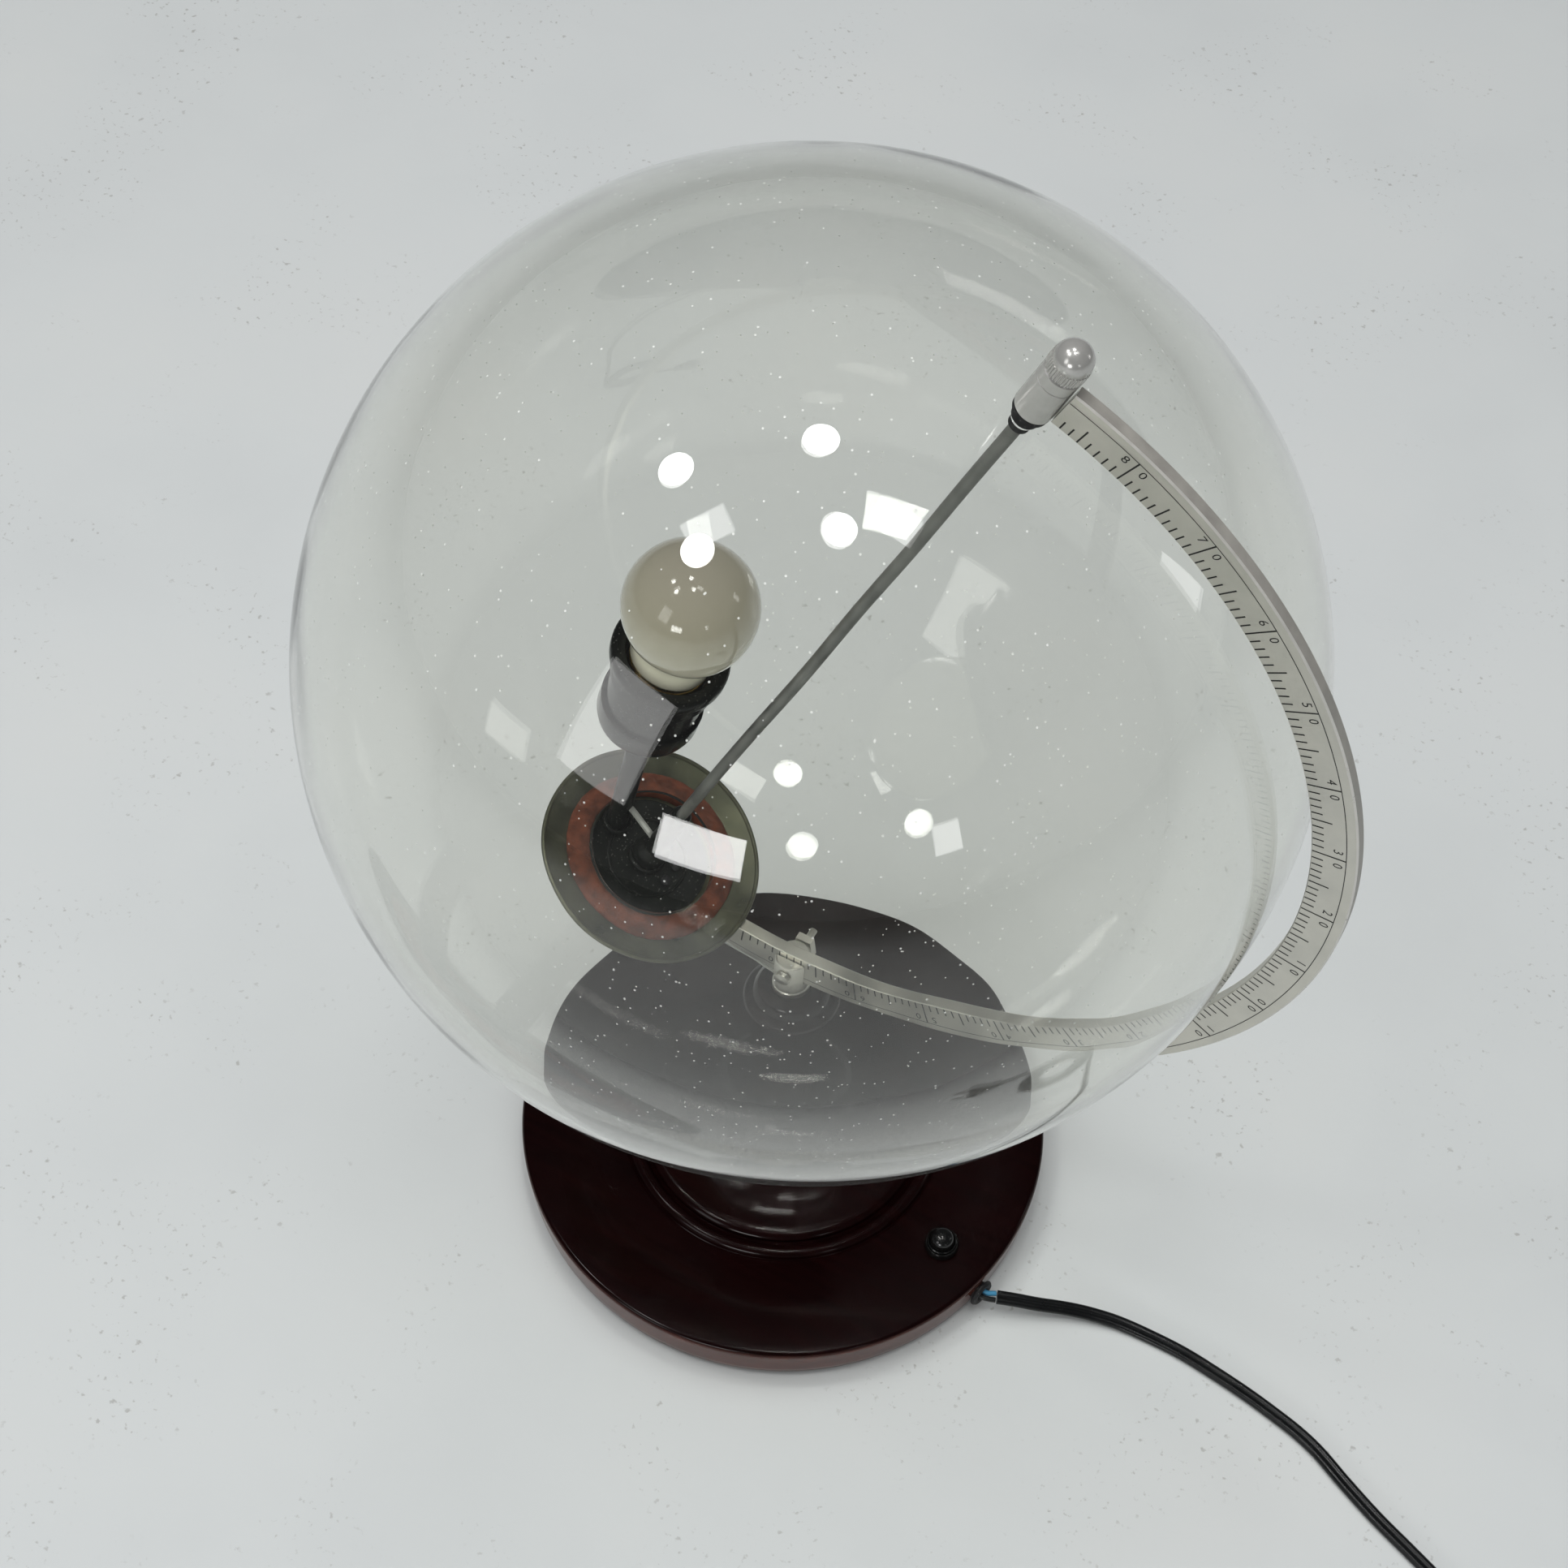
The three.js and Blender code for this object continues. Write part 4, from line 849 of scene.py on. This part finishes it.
def build_lamp():
    foot = AXIS @ Vector(STALK_FOOT)
    top = LAMP @ Vector((0, 0, HOLDER_LOW + 1))
    lean = Vector((0, 0, 1)).rotation_difference(top - foot).to_matrix().to_4x4()
    stalk_frame = Matrix.Translation(foot) @ lean
    stalk = turned("lamp_stalk_fine", ring_profile(3, 4.2, 0, (top - foot).length), stalk_frame, 48)
    hole = turned("stalk_hole", rod_profile(LEAD_R + 1.1, 0, 8),
                  stalk_frame @ Matrix.Translation((0, 0, 13.5)) @ rotation(90, "Y"), 24)
    drill(stalk, [hole])
    dress(stalk, "black_metal", nodes=["lamp_stalk"])
    turned_piece("stalk_foot", ring_profile(4.9, 6, -172.5, -169.9, 0.4),
                 AXIS @ Matrix.Translation((STALK_FOOT[0], STALK_FOOT[1], 0)), segments=48)

    turned_piece("holder_cap", closed([
        (4.8, -81), (7.2, -81), (7.5, -80.7), (7.8, -79), (12, -78.2), (14.6, -77.2), (16.6, -75.6),
        (18.2, -73.6), (18.8, -71.4), (18.8, -63.7), (18.4, -63.3), (17.2, -63.3), (17.2, -71), (15.2, -74),
        (11, HOLDER_LOW + 0.6), (4.8, HOLDER_LOW),
    ]), LAMP)
    turned_piece("holder_body", ring_profile(15.9, 17.4, -63, -36.6), LAMP)
    turned_piece("holder_ring", closed([
        (17.7, -46), (18.9, -46), (19.2, -45.6), (19.2, -39), (20.2, -37.6), (21.2, -36.2), (21.5, -35.2),
        (21.5, -32.6), (21.2, -31.6), (20.5, -30.9), (19.4, -30.6), (17.4, -30.6), (16.4, -31), (16, -31.8),
        (16, -36.3), (17.7, -36.3),
    ]), LAMP, segments=128)
    turned_piece("screw_shell", ring_profile(13.5, 14.1, -57.2, -35), LAMP)

    neck = 14.3
    fillet = [(15.9, -18.6), (14.9, -20.4), (14.4, -22.6), (neck, -25)]
    ball = arc(BULB_R, 0, 180 - polar_angle(17, BULB_R), 48)
    turned_piece("bulb_glass", [
        (0, BULB_R), *ball[1:], *fillet, (neck, -31.5), (neck - 1, -33), (neck - 1.8, -33),
        (neck - 0.9, -31.2), (neck - 0.9, -25), (15, -18), (0, -18),
    ], LAMP, "bulb", 128, 50)
    enamel = turned("bulb_neck", closed([
        (15.4, -20), (15.05, -20.6), (14.6, -22.6), (neck + 0.2, -25), (neck + 0.2, -31.6), (neck, -32),
        (neck, -25), (14.4, -22.6), (14.9, -20.4),
    ]), LAMP, 96)
    dress(enamel, "opal_glass", "bulb", paint=CREAM)
    heights = [-48 + 0.3 * i for i in range(44)]
    thread = [(12.6 + 0.55 * math.cos(2 * math.pi * z / THREAD_PITCH), z) for z in heights]
    turned_piece("bulb_cap", [
        (0, -52.3), (5, -52.3), (9, -51.8), (12.4, -49), *thread, (12.9, -34), (12.9, -33.3), (11.6, -33.3),
        (11.6, -48), (8.6, -51), (0, -51.4),
    ], LAMP, "bulb", 96, 60)


# ----- Cord, coil, tie, plug and bare cores -----

CORD_REST_Z = 1.75
CORD_FALL = [
    (111.4, -23.8, 9.8), (118.6, -20.8, 9.0), (126.8, -17.3, 7.4), (136, -13, 5.8), (146, -9.2, 4.2),
    (158, -6.2, 2.6),
]
CORD_ON_FLOOR = [
    (171.5, -5), (186, -5), (200.5, -6.4), (215.5, -8.4), (229, -10.9), (240, -13.4), (250.5, -17),
    (264, -23.4), (280, -30.4), (295.6, -36.2), (309, -41.2), (322, -46.2),
]
COIL_CENTRE = Vector((343, -97, 0))
COIL_MID_R = 32
COIL_PITCH = 6
COIL_LOW_Z = 0.9 + CORD_THICK / 2 + 0.05
COIL_STEP_Z = 3.6
COIL_ENTRY = 78
TAIL_LENGTH = 62
RUN_LENGTH = 268
TURNS = (CORD_LENGTH - RUN_LENGTH - TAIL_LENGTH) / (4 * math.pi * COIL_MID_R)  # in each layer
COIL_OUTER_R = COIL_MID_R + COIL_PITCH * TURNS / 2
COIL_INNER_R = COIL_MID_R - COIL_PITCH * TURNS / 2


def coil_line(per_turn=40):
    """Wound clockwise seen from above: inwards in the lower layer, outwards in the upper one."""
    line = []
    count = round(2 * TURNS * per_turn)
    for i in range(count + 1):
        turn = 2 * TURNS * i / count
        down = turn <= TURNS
        radius = COIL_OUTER_R - COIL_PITCH * turn if down else COIL_INNER_R + COIL_PITCH * (turn - TURNS)
        rise = min(1, max(0, (turn - TURNS + 0.2) / 0.4))
        z = COIL_LOW_Z + COIL_STEP_Z * (3 * rise ** 2 - 2 * rise ** 3)
        angle = math.radians(COIL_ENTRY - 360 * turn)
        line.append(COIL_CENTRE + Vector((radius * math.cos(angle), radius * math.sin(angle), z)))
    return line


def tail_ends():
    angle = math.radians(COIL_ENTRY - 720 * TURNS)
    radial = Vector((math.cos(angle), math.sin(angle), 0))
    along = Vector((math.sin(angle), -math.cos(angle), 0))
    return COIL_CENTRE + radial * COIL_OUTER_R, along


def cord_section():
    """Two cores side by side in one sheath, with a shallow groove along each flat face."""
    half = CORD_THICK / 2
    shift = CORD_WIDTH / 2 - half
    angles = [math.radians(d) for d in range(-90, 91, 18)]
    right = [(shift + half * math.cos(a), half * math.sin(a)) for a in angles]
    left = [(-x, -y) for x, y in right]
    groove = half - 0.55
    return [*right, (0.35, groove + 0.2), (0, groove), (-0.35, groove + 0.2),
            *left, (-0.35, -groove - 0.2), (0, -groove), (0.35, -groove - 0.2)]


def build_cord():
    exit_point, along = tail_ends()
    tail = [exit_point + along * d + Vector((0, 0, z))
            for d, z in ((12, 5.2), (24, 3.4), (33, 2.6), (42, 3.0), (52, 4.8), (TAIL_LENGTH, 6.6))]
    coil = coil_line()
    floor_run = [(x, y, CORD_REST_Z) for x, y in CORD_ON_FLOOR]
    run = catmull([*CORD_FALL, *floor_run, coil[0]], 8)
    joined = run[:-1] + coil + catmull([coil[-1], *tail], 6)[1:]
    cord = swept("mains_cord", cord_section(), joined)
    dress(cord, "black_cord", nodes=["cord_run", "cord_coil", "cord_tail"])
    pieces = [*build_plug(exit_point + along * (TAIL_LENGTH + GAP), along), build_tie()]
    for piece in [cord, *pieces]:
        piece.visible_glossy = False  # the stored coil shows in no reflection on the glass


def build_tie():
    """Flat band round one side of the coil."""
    low = 0.02
    high = COIL_LOW_Z + COIL_STEP_Z + CORD_THICK / 2 + GAP + 0.6
    inner = COIL_INNER_R - CORD_WIDTH / 2 - GAP - 0.6
    outer = COIL_OUTER_R + CORD_WIDTH / 2 + GAP + 0.6
    corner = 1.5
    outline = []
    for x, z, start in ((outer, low, -90), (outer, high, 0), (inner, high, 90), (inner, low, 180)):
        cx = x - corner if x == outer else x + corner
        cz = z + corner if z == low else z - corner
        outline += [(cx + corner * math.cos(math.radians(start + 15 * i)),
                     cz + corner * math.sin(math.radians(start + 15 * i))) for i in range(7)]
    middle = ((inner + outer) / 2, (low + high) / 2)
    points = []
    for x, z in outline:
        inward = Vector((middle[0] - x, middle[1] - z))
        pull = Vector((math.copysign(min(0.6, abs(inward.x)), inward.x), math.copysign(0.6, inward.y)))
        points += [(x, -1.5, z), (x, 1.5, z), (x + pull.x, 1.5, z + pull.y), (x + pull.x, -1.5, z + pull.y)]
    count = len(outline)
    faces = [[4 * i + k, 4 * i + (k + 1) % 4, 4 * ((i + 1) % count) + (k + 1) % 4, 4 * ((i + 1) % count) + k]
             for i in range(count) for k in range(4)]
    tie = mesh("cord_tie_fine", points, faces, Matrix.Translation(COIL_CENTRE) @ rotation(-145, "Z"))
    return dress(tie, "cord_tie", nodes=["cord_tie"])


def build_plug(entry, along):
    """Flat two-pin plug: local X runs from the cord entry to the pins."""
    turn = math.degrees(math.atan2(along.y, along.x))
    where = Matrix.Translation((entry.x, entry.y, 0)) @ rotation(turn, "Z")
    side = [(0.2, 4.4), (5, 4.6), (10, 5.2), (14, 6.9), (20, 11), (27, 14.4), (32, 15), (36, 14.9),
            (37, 14.2)]
    outline = [(x, -y) for x, y in side] + side[::-1]
    body = prism("plug_body_fine", outline, 13.6, where, 2.6, 4)
    dress(body, "plug_plastic", nodes=["plug_body"])
    pieces = [body]
    pin = [(0, 0), (2, 0), (2, 17.6), (1.7, 18.5), (1, 19), (0, 19)]
    for index, way in enumerate((1, -1)):
        place = where @ Matrix.Translation((37 + GAP, way * 9.3, 6.8)) @ rotation(90, "Y")
        pieces.append(turned_piece(f"plug_pin_{index + 1}", pin, place, segments=32))
    return pieces


def build_cores():
    """The ends of the two cores, bare of sheath, from the foot to the cord."""
    routes = {
        "core_blue": [(112.6, 4.15, 9.9), (111.6, 3.1, 10.1), (110.1, 1.7, 10.4), (108, 1.3, 10.5),
                      (104, 1.3, 10.5), (98, 1.3, 10.5), (96.3, 1.6, 10.4), (94.5, 3.5, 9.8), (93.3, 7, 9),
                      (91, 14, 8), (86.5, 20.5, 7), (84.2, 24.4, 6.6), (84, 26.4, 6.6)],
        "core_black": [(114.3, 1.75, 9.9), (112.2, 0.2, 10.2), (110.2, -0.9, 10.4), (108, -1.3, 10.5),
                       (104, -1.3, 10.5), (98, -1.3, 10.5), (96.2, -1.4, 10.1), (94.8, -1.4, 8.6),
                       (94.5, -1.4, 6), (94.3, -1.3, 4.2), (93, -1, 3.3), (91.1, -0.5, 3.3)],
    }
    for name, route in routes.items():
        line = catmull([SERVICE @ Vector(p) for p in route], 5)
        dress(swept(name + "_fine", round_section(CORE_R), line), SLOT_OF[name], nodes=[name])


# ----- Floor, light and camera -----


def build_floor():
    far = 12000
    floor = mesh("floor", [(-far, -far, 0), (far, -far, 0), (far, far, 0), (-far, far, 0)], [[0, 1, 2, 3]])
    floor.data.materials.append(floor_paint("floor paint"))


def area_light(name, place, size, power, shape="DISK", size_y=None):
    """Area light that faces the middle of the globe."""
    light = bpy.data.lights.new(name, "AREA")
    light.shape = shape
    light.size = size
    if size_y:
        light.size_y = size_y
    light.energy = power
    lamp = bpy.data.objects.new(name, light)
    lamp.location = place
    lamp.rotation_mode = "QUATERNION"
    away = Vector(place) - Vector((0, 0, GLOBE_Z * MM))
    lamp.rotation_quaternion = away.to_track_quat("Z", "Y")
    bpy.context.scene.collection.objects.link(lamp)
    return lamp


# Lights, in metres and watts: round lamps and dimmer panels above the globe, and windows round it as
# (place, width, height, power). The ceiling's own light is soft and shows in no reflection.
CEILING_LAMPS = [(-1.05, -0.32, 2.41), (-0.18, 0.31, 2.65), (0.32, -0.29, 2.65), (-0.61, -0.89, 2.43)]
LAMP_ACROSS = 0.28
LAMP_POWER = 4.5
CEILING_PANELS = [(0.64, 0.02, 2.6), (-0.62, -0.70, 2.5)]
PANEL_WIDTH = 0.26
PANEL_LENGTH = 0.38
PANEL_POWER = 1.1
WINDOWS = [((-1.0, -3.0, 1.85), 1.0, 1.45, 9.5), ((0.36, -3.0, 0.95), 0.9, 0.5, 13),
           ((2.0, 1.36, 0.95), 0.3, 0.5, 1.0), ((2.5, -1.75, 1.1), 0.3, 0.35, 1.2)]
CEILING_HEIGHT = 3.2
CEILING_ACROSS = 4
CEILING_POWER = 84


def build_light():
    world = bpy.data.worlds.new("room")
    world.use_nodes = True
    tree = world.node_tree
    direction = tree.nodes.new("ShaderNodeTexCoord").outputs["Generated"]
    up = node(tree, "SeparateXYZ", {0: direction}).outputs[2]
    room = ramp(tree, up, [(0.0, (0.10, 0.103, 0.103)), (0.35, (0.06, 0.062, 0.063)),
                           (1.0, (0.025, 0.027, 0.029))])
    tree.links.new(room, tree.nodes["Background"].inputs[0])
    bpy.context.scene.world = world
    for index, place in enumerate(CEILING_LAMPS):
        area_light(f"ceiling_lamp_{index + 1}", place, LAMP_ACROSS, LAMP_POWER)
    for index, (place, width, height, power) in enumerate(WINDOWS):
        area_light(f"window_{index + 1}", place, width, power, "RECTANGLE", height)
    for index, place in enumerate(CEILING_PANELS):
        area_light(f"ceiling_panel_{index + 1}", place, PANEL_WIDTH, PANEL_POWER, "RECTANGLE", PANEL_LENGTH)
    ceiling = area_light("ceiling", (0, 0, CEILING_HEIGHT), CEILING_ACROSS, CEILING_POWER, "SQUARE")
    ceiling.visible_glossy = False
    ceiling.visible_transmission = False
    bpy.context.scene.view_settings.view_transform = "Standard"


def build_camera():
    data = bpy.data.cameras.new("camera")
    data.sensor_width = CAMERA_SENSOR
    data.lens = CAMERA_LENS
    camera = bpy.data.objects.new("camera", data)
    right = Vector(CAMERA_RIGHT).normalized()
    up = Vector(CAMERA_UP)
    up = (up - right * up.dot(right)).normalized()
    back = right.cross(up)
    turn = Matrix((right, up, back)).transposed().to_4x4()
    camera.matrix_world = Matrix.Translation(Vector(CAMERA_PLACE) * MM) @ turn
    bpy.context.scene.collection.objects.link(camera)
    bpy.context.scene.camera = camera


build_foot()
build_switch()
build_arm()
build_scale()
build_clamp()
build_north_fitting()
build_globe()
build_south()
build_lamp()
build_cord()
build_cores()
build_floor()
build_light()
build_camera()

# Everything that is still the CAD node itself gets its slot's material.
for name, carried in frame["nodes"].items():
    carried.data.materials.clear()
    carried.data.materials.append(PAINT[SLOT_OF[name]])
